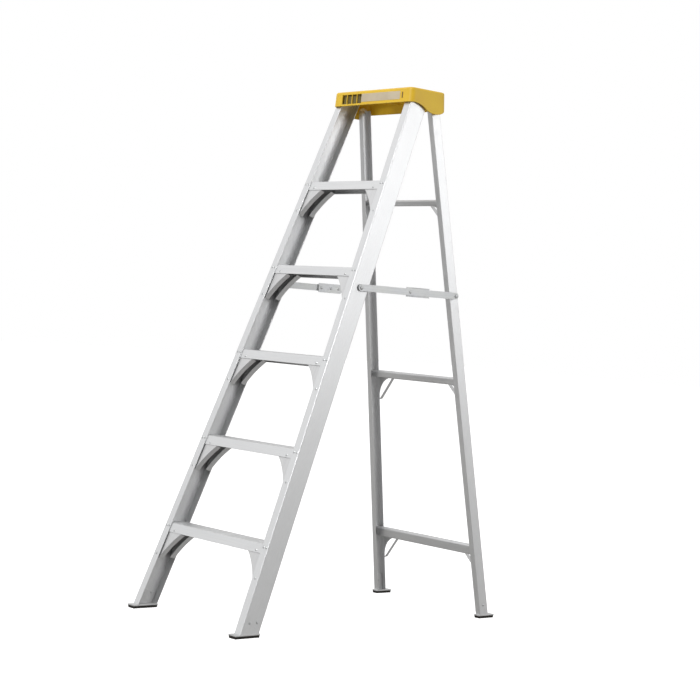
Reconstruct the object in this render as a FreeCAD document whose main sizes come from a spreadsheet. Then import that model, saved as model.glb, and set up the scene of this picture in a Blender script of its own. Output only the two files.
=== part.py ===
import FreeCAD, Part
import math
import os
import Sketcher

# A free-standing step ladder: two channel rails carrying five treads, a hinged rear section of two
# lighter channel rails, a moulded top cap and a folding spreader on each side.
# Row frame: +X to the right, +Y to the rear, +Z up, origin on the floor under the middle of the footprint.
# Each piece is drawn in one of three frames:
#   row    the frame above
#   front  origin on the floor at the front edge of the front rails, local Z up the slope of the rails
#   rear   origin on the rear section's hinge line, local Z up the slope of the rear rails

Vector = FreeCAD.Vector
Rotation = FreeCAD.Rotation
Placement = FreeCAD.Placement

os.makedirs("parts", exist_ok=True)
doc = FreeCAD.newDocument("step_ladder")
sheet = doc.addObject("Spreadsheet::Sheet", "Dims")

dimensions = [
    # the standing ladder
    ("overall_height", 1730.0),     # floor to the top of the cap
    ("front_lean", 20.3),           # front rails back from upright, degrees
    ("rear_lean", 10.54),           # rear rails forward from upright, degrees
    ("front_half", 284.0),          # outer half width of the front section at the floor
    ("front_taper", 3.1),           # each front rail in from upright, in the plane of the section
    ("rear_half", 180.0),           # outer half width of the rear section at its hinge
    ("rear_taper", 2.96),
    ("hinge_drop", 55.0),           # hinge line below the top of the cap
    ("hinge_setback", 118.6),       # level distance from the front rails' front edge to the hinge line
    # rails
    ("front_depth", 67.5),
    ("front_flange", 30.0),
    ("front_wall", 2.2),
    ("rear_depth", 38.0),
    ("rear_flange", 20.0),
    ("rear_wall", 1.8),
    ("rail_corner", 2.4),           # outside corner radius of both channels
    ("seat_gap", 0.15),             # between two plates that are riveted together
    ("rail_top_gap", 1.0),          # between the front rails and the cap's deck
    # treads
    ("step_count", 5),
    ("first_step", 274.0),
    ("step_pitch", 286.0),
    ("step_wall", 2.0),
    ("lip_height", 30.0),
    ("rear_lip_extra", 9.0),        # the rear lip hangs lower than the front one
    ("nosing_radius", 1.6),
    ("step_end_gap", 0.4),
    ("step_rivet_outer", 0.33),     # places across the rail's flange, as shares of its width
    ("step_rivet_inner", 0.75),
    ("groove_count", 9),
    ("groove_depth", 0.9),
    ("groove_width", 2.4),
    ("groove_pitch", 6.2),
    # knee braces under the treads
    ("brace_wall", 1.5),
    ("brace_reach", 64.0),          # along the tread, past the rail's flange
    ("brace_drop", 88.0),           # down the rail, below the tread's lip
    ("brace_overlap", 16.0),        # up behind the lip
    ("brace_arc", 260.0),           # radius of the free edge
    ("brace_fold", 17.0),           # depth of the lip folded along the free edge
    ("brace_inset", 4.7),           # brace inside the rail's web, at its head
    ("brace_head_share", 0.4),      # upper rivet, as a share of the reach
    ("dimple_rim", 1.0),
    ("brace_tab", 7.0),             # brace inside the rail's web, at its foot
    ("brace_foot", 12.0),           # lower rivet above the end of the brace
    # rear section's bars and gussets
    ("lower_bar_top", 243.0),
    ("middle_bar_top", 801.0),
    ("upper_bar_top", 1385.0),
    ("lower_bar_height", 33.0),
    ("middle_bar_height", 24.0),
    ("upper_bar_height", 20.0),
    ("bar_depth", 17.0),
    ("bar_wall", 1.6),
    ("bar_round", 5.0),             # front corners of each bar
    ("bar_rivet_share", 0.55),      # across the rear rail's flange
    ("gusset_reach", 70.0),
    ("gusset_drop", 82.0),
    ("gusset_arc", 76.0),           # radius of the hollowed corner plate
    ("gusset_fold", 13.0),          # depth of the strut
    ("gusset_foot", 10.0),          # lower rivet above the end of the gusset
    ("gusset_head_share", 0.6),     # rivet on the bar, as a share of the reach
    ("gusset_inset", 3.6),          # gusset inside the rail's web
    ("gusset_cover", 0.85),         # share of the bar's height behind which it reaches
    ("strut_wall", 1.95),
    # feet
    ("sole_thickness", 8.0),
    ("shoe_thickness", 4.0),
    ("shoe_stem", 52.0),            # height of the tongue riveted inside the rail
    ("tongue_wall", 2.5),
    ("front_toe", 14.7),            # shoe in front of the front rail
    ("rear_heel", 22.0),            # shoe behind the rear rail
    ("rear_toe", 8.0),
    ("shoe_side", 2.5),             # shoe past the rail's web and flange tips
    ("sole_bevel", 2.0),
    ("tread_slot", 3.0),
    ("sole_inset", 0.5),
    ("sole_draft", 8.0),
    ("tongue_gap", 1.0),
    ("foot_rivet_rise", 0.7),       # height of the rivets as a share of the tongue's
    ("foot_rivet_side", 0.3),       # and in from each edge of the web
    ("rear_foot_rivet_rise", 0.62),
    # moulded cap
    ("cap_half", 196.0),            # half width at the bottom of the skirt
    ("cap_front", 126.0),           # front face ahead of the hinge line
    ("cap_rear", 37.0),             # rear face behind the hinge line
    ("cap_draft", 2.5),
    ("cap_wall", 4.0),
    ("cap_deck", 10.0),
    ("tray_depth", 6.0),
    ("tray_rim", 9.0),
    ("cap_corner", 20.0),
    ("cap_edge", 7.0),
    ("cap_rivet_drop", 16.0),       # rail rivets below the deck
    ("cap_rivet_side", 0.25),       # and in from each edge of the web
    ("lobe_drop", 21.0),            # side skirt below the hinge line
    ("lobe_ahead", 18.0),           # lowest point of the lobe, ahead of the hinge line
    ("lobe_slope_run", 56.0),       # the straight part of the skirt's edge starts this far ahead of the hinge
    ("lobe_slope_rise", 12.0),      # and this far above the lobe's lowest point
    ("lobe_heel_run", 24.0),        # behind the hinge line
    ("lobe_heel_rise", 10.0),
    ("skirt_bend", 48.0),           # radii of the skirt's edge
    ("lobe_bend", 70.0),
    ("heel_bend", 60.0),
    ("skirt_rise", 7.0),            # lower edge of the front skirt above the hinge line
    ("rear_skirt_rise", 6.0),
    ("skirt_start", 8.0),           # where the edge leaves the front skirt, behind the front face
    ("window_width", 98.0),
    ("window_height", 31.0),
    ("window_side", 50.0),          # from the middle of the cap to the near end of the window
    ("window_top", 11.5),           # below the top of the cap
    ("window_ribs", 3),
    ("window_rib", 2.2),
    ("deck_rib", 3.0),
    ("deck_rib_place", 0.12),       # share of the cap's half width, either side of its middle
    ("deck_rib_depth", 20.0),
    ("tool_hole_large", 11.0),      # radii
    ("tool_hole_small", 8.0),
    ("tool_slot_length", 78.0),
    ("tool_slot_width", 22.0),
    ("tool_line", 0.3),             # tool holes ahead of the hinge line, as a share of cap_front
    ("large_hole_place", 0.36),     # along the cap, as shares of its half width
    ("small_hole_place", 0.58),
    ("slot_place", -0.42),
    ("boss_radius", 12.0),          # round the hinge pins
    ("hinge_bite", 9.0),            # depth of the pins' holes in the bosses
    ("pad_radius", 8.0),            # pads that the front rails are riveted to
    ("pad_bite", 5.5),
    # fasteners
    ("rivet_radius", 2.4),
    ("rivet_head", 4.6),
    ("rivet_rise", 1.5),
    ("tail_spread", 1.5),           # formed tail against the shank
    ("tail_share", 0.8),            # its flat end against its width, and its height against the head's
    ("dome_out", 0.68),             # a point on every round head's profile, as shares of radius and rise
    ("dome_up", 0.72),
    ("hole_gap", 0.05),             # radial, round every rivet and pin
    ("hinge_pin", 4.0),
    ("hinge_head", 8.5),
    ("hinge_head_rise", 4.0),
    ("move_gap", 0.35),             # between faces of pieces that move past each other
    # spreaders
    ("spreader_height", 1070.0),
    ("spreader_bar", 22.0),
    ("spreader_wall", 3.0),
    ("spreader_pin", 3.5),
    ("spreader_head", 7.0),
    ("spreader_washer", 2.0),
    ("spreader_washer_radius", 6.5),
    ("spreader_sink", 1.2),         # rear link inside the front rail's outer face
    ("spreader_head_rise", 0.7),    # against the pin's radius
    ("elbow_share", 0.8),           # elbow's rivet against the pivot pins
    ("elbow_rise", 0.6),
    ("lock_length", 100.0),
    ("lock_height", 31.0),
    ("lock_wall", 1.5),
    ("lock_lip_start", 0.7),        # lips start this share of the bar's height past the elbow
    ("lock_rivet_near", 0.42),      # along the plate, as shares of its length
    ("lock_rivet_far", 0.78),
    # cutting tools
    ("margin", 10.0),               # past the piece that they cut
    ("long_margin", 80.0),
]
for row, (alias, number) in enumerate(dimensions, start=1):
    sheet.set("A%d" % row, alias)
    sheet.set("B%d" % row, str(number))
    sheet.setAlias("B%d" % row, alias)
number = len(dimensions) + 1
sheet.set("A%d" % number, "hinge_height")
sheet.set("B%d" % number, "=overall_height - hinge_drop")
sheet.setAlias("B%d" % number, "hinge_height")
doc.recompute()


def value(text):
    # the number that an expression on the sheet gives now
    return float(sheet.evalExpression(str(text)))


def size(alias):
    return value("Dims." + alias)


# Working lines worked out from the driving sizes.

lean = math.radians(size("front_lean"))
rearLean = math.radians(size("rear_lean"))
hingeRun = size("hinge_height") * math.tan(lean) + size("hinge_setback")
rearRun = size("hinge_height") * math.tan(rearLean) + size("rear_depth") / 2 / math.cos(rearLean)
footprint = size("front_toe") + hingeRun + rearRun + size("rear_heel")
frontFloor = size("front_toe") - footprint / 2
hingeLine = frontFloor + hingeRun
footTop = "(Dims.sole_thickness + Dims.shoe_thickness)"

rowPlace = Placement()
frontPlace = Placement(Vector(0, frontFloor, 0), Rotation(Vector(1, 0, 0), -size("front_lean")))
rearTurn = Rotation(Vector(1, 0, 0), size("rear_lean"))
rearPlace = Placement(Vector(0, hingeLine, size("hinge_height")), rearTurn)
sides = {"left": -1, "right": 1}
near = 0.1          # for finding edges by their place
longEdge = size("overall_height") / 2
slotSpacing = 3     # slots of a sole against their own width


def frontHalf(height):
    # outer half width of the front section at a distance up its slope
    return "(Dims.front_half - (%s) * tan(Dims.front_taper))" % height


def rearHalf(height):
    # outer half width of the rear section, measured up its slope from the hinge line
    return "(Dims.rear_half - (%s) * tan(Dims.rear_taper))" % height


def frontLevel(height, depth):
    # distance up the front slope at which a level plane cuts the line at this depth
    return "((%s) / cos(Dims.front_lean) + (%s) * tan(Dims.front_lean))" % (height, depth)


def rearLevel(height, depth):
    return "(((%s) - Dims.hinge_height) / cos(Dims.rear_lean) - (%s) * tan(Dims.rear_lean))" % (height, depth)


# Sketch and feature helpers.

pieces = []


def newBody(label, place):
    body = doc.addObject("PartDesign::Body", label)
    body.Label = label
    body.Placement = place
    pieces.append(body)
    return body


def newSketch(body, name, role, offset="0"):
    # a sketch on one of the body's own origin planes, moved along the plane's normal
    sketch = body.newObject("Sketcher::SketchObject", name)
    plane = [feature for feature in body.Origin.OriginFeatures if feature.Role == role][0]
    sketch.AttachmentSupport = [(plane, "")]
    sketch.MapMode = "FlatFace"
    sketch.setExpression("AttachmentOffset.Base.z", offset)
    return sketch


def pinPoint(sketch, geometry, point, across, up):
    for kind, text in (("DistanceX", across), ("DistanceY", up)):
        rule = Sketcher.Constraint(kind, -1, 1, geometry, point, value(text))
        number = sketch.addConstraint(rule)
        sketch.setExpression("Constraints[%d]" % number, text)


def drawLoop(sketch, corners):
    # A closed outline. A corner is (across, up), or (across, up, radius, turn) where the edge to the next
    # corner is an arc: turn 1 has its centre to the left of the way round, turn -1 to the right.
    places = [(value(corner[0]), value(corner[1])) for corner in corners]
    first = sketch.GeometryCount
    ends = []
    for number, corner in enumerate(corners):
        start = Vector(places[number][0], places[number][1], 0)
        nextPlace = places[(number + 1) % len(places)]
        stop = Vector(nextPlace[0], nextPlace[1], 0)
        if len(corner) == 2:
            sketch.addGeometry(Part.LineSegment(start, stop), False)
            ends.append((1, 2))
            continue
        radius = value(corner[2])
        turn = corner[3]
        chord = stop - start
        rise = math.sqrt(radius ** 2 - (chord.Length / 2) ** 2)
        normal = Vector(-chord.y, chord.x, 0).normalize()
        centre = (start + stop) * 0.5 + normal * rise * turn
        begin, finish = (start, stop) if turn > 0 else (stop, start)
        beginAngle = math.atan2(begin.y - centre.y, begin.x - centre.x)
        finishAngle = math.atan2(finish.y - centre.y, finish.x - centre.x)
        if finishAngle < beginAngle:
            finishAngle += 2 * math.pi
        circle = Part.Circle(centre, Vector(0, 0, 1), radius)
        sketch.addGeometry(Part.ArcOfCircle(circle, beginAngle, finishAngle), False)
        ends.append((1, 2) if turn > 0 else (2, 1))
    for number, corner in enumerate(corners):
        following = (number + 1) % len(corners)
        sketch.addConstraint(Sketcher.Constraint(
            "Coincident", first + number, ends[number][1], first + following, ends[following][0]))
        pinPoint(sketch, first + number, ends[number][0], corner[0], corner[1])
        if len(corner) > 2:
            rule = Sketcher.Constraint("Radius", first + number, value(corner[2]))
            place = sketch.addConstraint(rule)
            sketch.setExpression("Constraints[%d]" % place, corner[2])


def drawCircle(sketch, across, up, radius):
    number = sketch.GeometryCount
    centre = Vector(value(across), value(up), 0)
    sketch.addGeometry(Part.Circle(centre, Vector(0, 0, 1), value(radius)), False)
    pinPoint(sketch, number, 3, across, up)
    place = sketch.addConstraint(Sketcher.Constraint("Radius", number, value(radius)))
    sketch.setExpression("Constraints[%d]" % place, radius)


def padFrom(body, name, sketch, length, symmetric=False, against=False, slope=None, draft=None):
    # slope is the way a prism leans, as two expressions per unit of its rise
    feature = body.newObject("PartDesign::Pad", name)
    feature.Profile = sketch
    feature.setExpression("Length", length)
    if symmetric:
        feature.SideType = "Symmetric"
    feature.Reversed = against
    if slope:
        feature.UseCustomVector = True
        feature.setExpression("Direction.x", slope[0])
        feature.setExpression("Direction.y", slope[1])
        feature.setExpression("Direction.z", "1")
        feature.AlongSketchNormal = True
    if draft:
        feature.setExpression("TaperAngle", draft)
    sketch.Visibility = False
    doc.recompute()
    return feature


def pocketFrom(body, name, sketch, length=None, against=False, draft=None):
    # with no length it cuts right through, both ways
    before = body.Shape.Volume
    feature = body.newObject("PartDesign::Pocket", name)
    feature.Profile = sketch
    if length:
        feature.setExpression("Length", length)
        feature.Reversed = against
        if draft:
            feature.setExpression("TaperAngle", draft)
    else:
        feature.Type = "ThroughAll"
        feature.SideType = "Symmetric"
    doc.recompute()
    if body.Shape.Volume > before - 0.01:
        raise RuntimeError("%s cuts nothing from %s" % (name, body.Label))
    return feature


def roundEdges(body, name, radius, wanted):
    base = body.Tip
    names = ["Edge%d" % (number + 1) for number, edge in enumerate(base.Shape.Edges) if wanted(edge)]
    if not names:
        raise RuntimeError("%s finds no edge on %s" % (name, body.Label))
    feature = body.newObject("PartDesign::Fillet", name)
    feature.Base = (base, names)
    feature.setExpression("Radius", radius)
    doc.recompute()
    return feature


def addGroup(label, solids):
    group = doc.addObject("Part::Feature", label)
    group.Label = label
    group.Shape = Part.makeCompound(solids)
    pieces.append(group)
    return group


# Fasteners: a round head on +Z above its seat at the origin, a shank down through the plates and a
# formed tail under them.

def makeFastener(radius, headRadius, headRise, grip, tailRadius, tailRise):
    end = -grip - tailRise
    tip = tailRadius * size("tail_share")
    return turnProfile(headRadius, headRise, [
        Vector(radius, 0, 0), Vector(radius, 0, -grip), Vector(tailRadius, 0, -grip), Vector(tip, 0, end),
        Vector(0, 0, end)])


def turnProfile(headRadius, headRise, below):
    # a solid of revolution: a domed head, then straight lines through the points below it
    dome = Vector(headRadius * size("dome_out"), 0, headRise * size("dome_up"))
    top = Vector(0, 0, headRise)
    rim = Vector(headRadius, 0, 0)
    line = [Part.Arc(top, dome, rim).toShape()]
    for start, stop in zip([rim] + below, below + [top]):
        line.append(Part.makeLine(start, stop))
    return Part.Face(Part.Wire(line)).revolve(Vector(0, 0, 0), Vector(0, 0, 1), 360)


def makeRivet(grip):
    radius = size("rivet_radius")
    rise = size("rivet_rise")
    return makeFastener(radius, size("rivet_head"), rise, grip, radius * size("tail_spread"),
                        rise * size("tail_share"))


def setFastener(solid, place, point, outward):
    # seats a copy at a point of a piece's own frame, its head facing outward
    local = Placement(point, Rotation(Vector(0, 0, 1), outward))
    copy = solid.copy()
    copy.Placement = place.multiply(local)
    return copy


rivetHole = "Dims.rivet_radius + Dims.hole_gap"
frontFasteners = []
rearFasteners = []


# Where the treads meet the front rails. A tread's lips lie against the inside of the rail's flanges.

lipFace = "(Dims.front_wall + Dims.seat_gap)"
lipBack = "(Dims.front_depth - Dims.front_wall - Dims.seat_gap)"
braceFace = "(Dims.front_wall + Dims.step_wall + 2 * Dims.seat_gap)"


def treadTop(number, depth):
    height = "Dims.first_step + %d * Dims.step_pitch" % (number - 1)
    return frontLevel(height, depth)


def lipLow(number, face):
    # lower edge of the front or the rear lip
    if face == "front":
        return "(%s - Dims.lip_height)" % treadTop(number, lipFace)
    return "(%s - Dims.lip_height - Dims.rear_lip_extra)" % treadTop(number, lipBack)


def stepRivets(number, face):
    # two rivets through the flange and lip at each end
    height = "(%s + Dims.brace_overlap + Dims.rivet_head)" % lipLow(number, face)
    edge = frontHalf(height)
    return [("(%s - Dims.front_flange * Dims.step_rivet_%s)" % (edge, place), height)
            for place in ("outer", "inner")]


def braceFoot(number, face):
    # the rivet through the flange at the brace's lower end
    height = "(%s - Dims.brace_drop + Dims.brace_foot)" % lipLow(number, face)
    return ("(%s - Dims.front_flange / 2)" % frontHalf(height), height)


def braceHead(number, face):
    # the rivet through the lip and brace
    height = "(%s + Dims.brace_overlap / 2)" % lipLow(number, face)
    inset = "Dims.front_flange - Dims.brace_reach * Dims.brace_head_share"
    return ("(%s - %s)" % (frontHalf(height), inset), height)


stepNumbers = range(1, int(size("step_count")) + 1)

# Spreader pivots. The front one is in the middle of the front rail's web, the rear one on the middle
# of the rear rail's web, and the elbow lies half way between them.

frontPivotDepth = "(Dims.front_depth / 2)"
frontPivotRise = frontLevel("Dims.spreader_height", frontPivotDepth)
rearPivotDepth = "0"
rearPivotRise = rearLevel("Dims.spreader_height", rearPivotDepth)
frontPivot = frontPlace.multVec(Vector(0, value(frontPivotDepth), value(frontPivotRise)))
rearPivot = rearPlace.multVec(Vector(0, 0, value(rearPivotRise)))
elbow = (frontPivot + rearPivot) * 0.5
armLength = (rearPivot.y - frontPivot.y) / 2

# How the front link, rear link and lock plate are layered outside the front rail, as distances in X.
frontWeb = frontHalf("%s - Dims.spreader_bar / 2" % frontPivotRise)
rearLinkIn = "(%s - Dims.spreader_sink)" % frontWeb
rearLinkOut = "(%s + Dims.spreader_wall)" % rearLinkIn
frontLinkIn = "(%s + Dims.move_gap)" % rearLinkOut
frontLinkOut = "(%s + Dims.spreader_wall)" % frontLinkIn


# Front rails: channels with the web outside and the flanges turned in. Both ends are cut level.

def makeFrontRail(side, way):
    body = newBody("front_rail_" + side, frontPlace)
    web = "%d * Dims.front_half" % way
    skin = "%d * (Dims.front_half - Dims.front_wall)" % way
    tip = "%d * (Dims.front_half - Dims.front_flange)" % way
    far = "Dims.front_depth"
    section = newSketch(body, "section", "XY_Plane")
    drawLoop(section, [
        (web, "0"), (web, far), (tip, far), (tip, far + " - Dims.front_wall"),
        (skin, far + " - Dims.front_wall"), (skin, "Dims.front_wall"), (tip, "Dims.front_wall"), (tip, "0")])
    top = "Dims.overall_height - Dims.cap_deck - Dims.rail_top_gap"
    reach = "%s + Dims.long_margin" % frontLevel(top, far)
    inward = ("%d * -tan(Dims.front_taper)" % way, "0")
    padFrom(body, "channel", section, reach, slope=inward)

    def isCorner(edge):
        foot = min(edge.Vertexes, key=lambda vertex: vertex.Point.z).Point
        return edge.BoundBox.ZLength > longEdge and abs(abs(foot.x) - size("front_half")) < near

    roundEdges(body, "corners", "Dims.rail_corner", isCorner)
    ends = newSketch(body, "level_ends", "YZ_Plane")
    before = "-Dims.margin"
    beyond = "(Dims.front_depth + Dims.margin)"
    under = "-Dims.long_margin"
    over = "%s + 2 * Dims.long_margin" % top
    drawLoop(ends, [
        (before, frontLevel(footTop, before)), (before, frontLevel(under, before)),
        (beyond, frontLevel(under, beyond)), (beyond, frontLevel(footTop, beyond))])
    drawLoop(ends, [
        (before, frontLevel(top, before)), (beyond, frontLevel(top, beyond)),
        (beyond, frontLevel(over, beyond)), (before, frontLevel(over, before))])
    pocketFrom(body, "trim", ends)
    for face in ("front", "rear"):
        plane = "0" if face == "front" else "-Dims.front_depth"
        holes = newSketch(body, face + "_flange_holes", "XZ_Plane", plane)
        for number in stepNumbers:
            for across, up in stepRivets(number, face) + [braceFoot(number, face)]:
                drawCircle(holes, "%d * %s" % (way, across), up, rivetHole)
        pocketFrom(body, face + "_flange_drilling", holes, "Dims.front_depth / 2", against=face == "rear")
    webHoles = newSketch(body, "web_holes", "YZ_Plane")
    drawCircle(webHoles, frontPivotDepth, frontPivotRise, "Dims.spreader_pin + Dims.hole_gap")
    for depth, up in frontWebRivets():
        drawCircle(webHoles, depth, up, rivetHole)
    pocketFrom(body, "web_drilling", webHoles)


def acrossWeb(share):
    # two places across the front rail's web, the same share of its depth in from each edge
    return ("(Dims.front_depth * %s)" % share, "(Dims.front_depth * (1 - %s))" % share)


def frontFootRivets():
    height = "((Dims.sole_thickness + Dims.shoe_thickness + Dims.shoe_stem) * Dims.foot_rivet_rise)"
    return [(depth, frontLevel(height, depth)) for depth in acrossWeb("Dims.foot_rivet_side")]


def frontCapRivets():
    height = "Dims.overall_height - Dims.cap_deck - Dims.cap_rivet_drop"
    return [(depth, frontLevel(height, depth)) for depth in acrossWeb("Dims.cap_rivet_side")]


def frontWebRivets():
    return frontFootRivets() + frontCapRivets()


# Treads: a level ribbed deck with two lips that follow the slope of the rails.

def makeStep(number):
    body = newBody("step_%d" % number, frontPlace)
    inner = "(%s + Dims.step_wall)" % lipFace
    innerBack = "(%s - Dims.step_wall)" % lipBack
    drop = "Dims.step_wall / cos(Dims.front_lean)"
    section = newSketch(body, "section", "YZ_Plane")
    drawLoop(section, [
        (lipFace, treadTop(number, lipFace)), (lipFace, lipLow(number, "front")),
        (inner, lipLow(number, "front")), (inner, "%s - %s" % (treadTop(number, inner), drop)),
        (innerBack, "%s - %s" % (treadTop(number, innerBack), drop)),
        (innerBack, lipLow(number, "rear")), (lipBack, lipLow(number, "rear")),
        (lipBack, treadTop(number, lipBack))])
    reach = "2 * (%s - Dims.front_wall - Dims.step_end_gap)" % frontHalf(treadTop(number, lipBack))
    padFrom(body, "extrusion", section, reach, symmetric=True)

    def isNose(edge):
        box = edge.BoundBox
        depths = (value(lipFace), value(lipBack))
        tops = (value(treadTop(number, lipFace)), value(treadTop(number, lipBack)))
        onNose = [abs(box.YMin - d) < near and abs(box.ZMin - t) < near for d, t in zip(depths, tops)]
        return box.XLength > size("brace_reach") and any(onNose)

    roundEdges(body, "nosing", "Dims.nosing_radius", isNose)
    grooves = newSketch(body, "groove_lines", "YZ_Plane")
    middle = "(Dims.front_depth / 2)"
    for place in range(int(size("groove_count"))):
        step = "(%d - (Dims.groove_count - 1) / 2)" % place
        line = "(%s + %s * Dims.groove_pitch)" % (middle, step)
        before = "(%s - Dims.groove_width / 2)" % line
        beyond = "(%s + Dims.groove_width / 2)" % line
        drawLoop(grooves, [
            (before, "%s + Dims.groove_depth" % treadTop(number, before)),
            (before, treadTop(number, before)),
            (line, "%s - Dims.groove_depth" % treadTop(number, line)),
            (beyond, treadTop(number, beyond)),
            (beyond, "%s + Dims.groove_depth" % treadTop(number, beyond))])
    pocketFrom(body, "grooves", grooves)
    for face in ("front", "rear"):
        plane = "0" if face == "front" else "-Dims.front_depth"
        holes = newSketch(body, face + "_lip_holes", "XZ_Plane", plane)
        for way in sides.values():
            for across, up in stepRivets(number, face) + [braceHead(number, face)]:
                drawCircle(holes, "%d * %s" % (way, across), up, rivetHole)
        pocketFrom(body, face + "_lip_drilling", holes, "Dims.front_depth / 2", against=face == "rear")


# Knee braces: a plate behind the lip, its free edge a hollow curve with a folded lip, and a pressed
# dimple that meets the rail's flange at the lower rivet.

def makeBrace(number, face, side, way):
    body = newBody("step_%d_%s_brace_%s" % (number, face, side), frontPlace)
    low = lipLow(number, face)
    top = "(%s + Dims.brace_overlap)" % low
    foot = "(%s - Dims.brace_drop)" % low
    flange = "Dims.front_flange"

    def across(height, inset):
        return "%d * (%s - %s)" % (way, frontHalf(height), inset)

    if face == "front":
        plane = braceFace
        onward = True
    else:
        plane = "(Dims.front_depth - %s)" % braceFace
        onward = False
    outer = "Dims.brace_inset"
    reach = "(%s + Dims.brace_reach)" % flange
    outline = newSketch(body, "outline", "XZ_Plane", "-%s" % plane)
    drawLoop(outline, [
        (across(top, outer), top), (across(top, reach), top),
        (across(low, reach), low, "Dims.brace_arc", -way),
        (across(foot, flange), foot), (across(foot, "Dims.brace_tab"), foot), (across(low, outer), low)])
    padFrom(body, "plate", outline, "Dims.brace_wall", against=onward)
    fold = newSketch(body, "fold_line", "XZ_Plane", "-%s" % plane)
    wall = "Dims.brace_wall"
    drawLoop(fold, [
        (across(low, reach), low, "Dims.brace_arc", -way), (across(foot, flange), foot),
        (across(foot, "(%s - %s)" % (flange, wall)), foot, "Dims.brace_arc + %s" % wall, way),
        (across(low, "(%s - %s)" % (reach, wall)), low)])
    padFrom(body, "fold", fold, "Dims.brace_fold", against=onward)
    rivet, height = braceFoot(number, face)
    dimple = newSketch(body, "dimple_line", "XZ_Plane", "-%s" % plane)
    drawCircle(dimple, "%d * %s" % (way, rivet), height, "Dims.rivet_head + Dims.dimple_rim")
    padFrom(body, "dimple", dimple, "Dims.step_wall + Dims.seat_gap", against=not onward)
    holes = newSketch(body, "holes", "XZ_Plane", "-%s" % plane)
    for spot, up in (braceFoot(number, face), braceHead(number, face)):
        drawCircle(holes, "%d * %s" % (way, spot), up, rivetHole)
    pocketFrom(body, "drilling", holes)


# Rivets of one tread and its braces, at both faces and both ends.

def rivetTread(number):
    shortGrip = value("Dims.front_wall + Dims.step_wall + Dims.seat_gap")
    footGrip = value(braceFace + " + Dims.brace_wall")
    headGrip = value("Dims.step_wall + Dims.brace_wall + Dims.seat_gap")
    depth = size("front_depth")
    for face, outward, edge, lip in (
            ("front", Vector(0, -1, 0), 0.0, value(lipFace)),
            ("rear", Vector(0, 1, 0), depth, value(lipBack))):
        for way in sides.values():
            for across, up in stepRivets(number, face):
                spot = Vector(way * value(across), edge, value(up))
                frontFasteners.append(setFastener(makeRivet(shortGrip), frontPlace, spot, outward))
            across, up = braceFoot(number, face)
            spot = Vector(way * value(across), edge, value(up))
            frontFasteners.append(setFastener(makeRivet(footGrip), frontPlace, spot, outward))
            across, up = braceHead(number, face)
            spot = Vector(way * value(across), lip, value(up))
            frontFasteners.append(setFastener(makeRivet(headGrip), frontPlace, spot, outward))


# Rear rails: lighter channels, rounded over the hinge pin and cut level at the foot.

barNames = ("lower", "middle", "upper")


def barTop(name):
    return rearLevel("Dims.%s_bar_top" % name, "Dims.rear_depth / 2")


def flangeLine(height):
    return "(%s - Dims.rear_flange * Dims.bar_rivet_share)" % rearHalf(height)


def barRivets(name):
    # one rivet through the gusset, the rear flange and the bar's web
    height = "(%s - Dims.%s_bar_height / 2)" % (barTop(name), name)
    return [(flangeLine(height), height)]


def gussetFoot(name):
    height = "(%s - Dims.%s_bar_height - Dims.gusset_drop + Dims.gusset_foot)" % (barTop(name), name)
    return (flangeLine(height), height)


def gussetHead(name):
    height = "(%s - Dims.%s_bar_height / 2)" % (barTop(name), name)
    inset = "Dims.rear_flange - Dims.gusset_reach * Dims.gusset_head_share"
    return ("(%s - %s)" % (rearHalf(height), inset), height)


def rearFootRivets():
    height = "(Dims.sole_thickness + Dims.shoe_thickness + Dims.shoe_stem * Dims.rear_foot_rivet_rise)"
    return [("0", rearLevel(height, "0"))]


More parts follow.
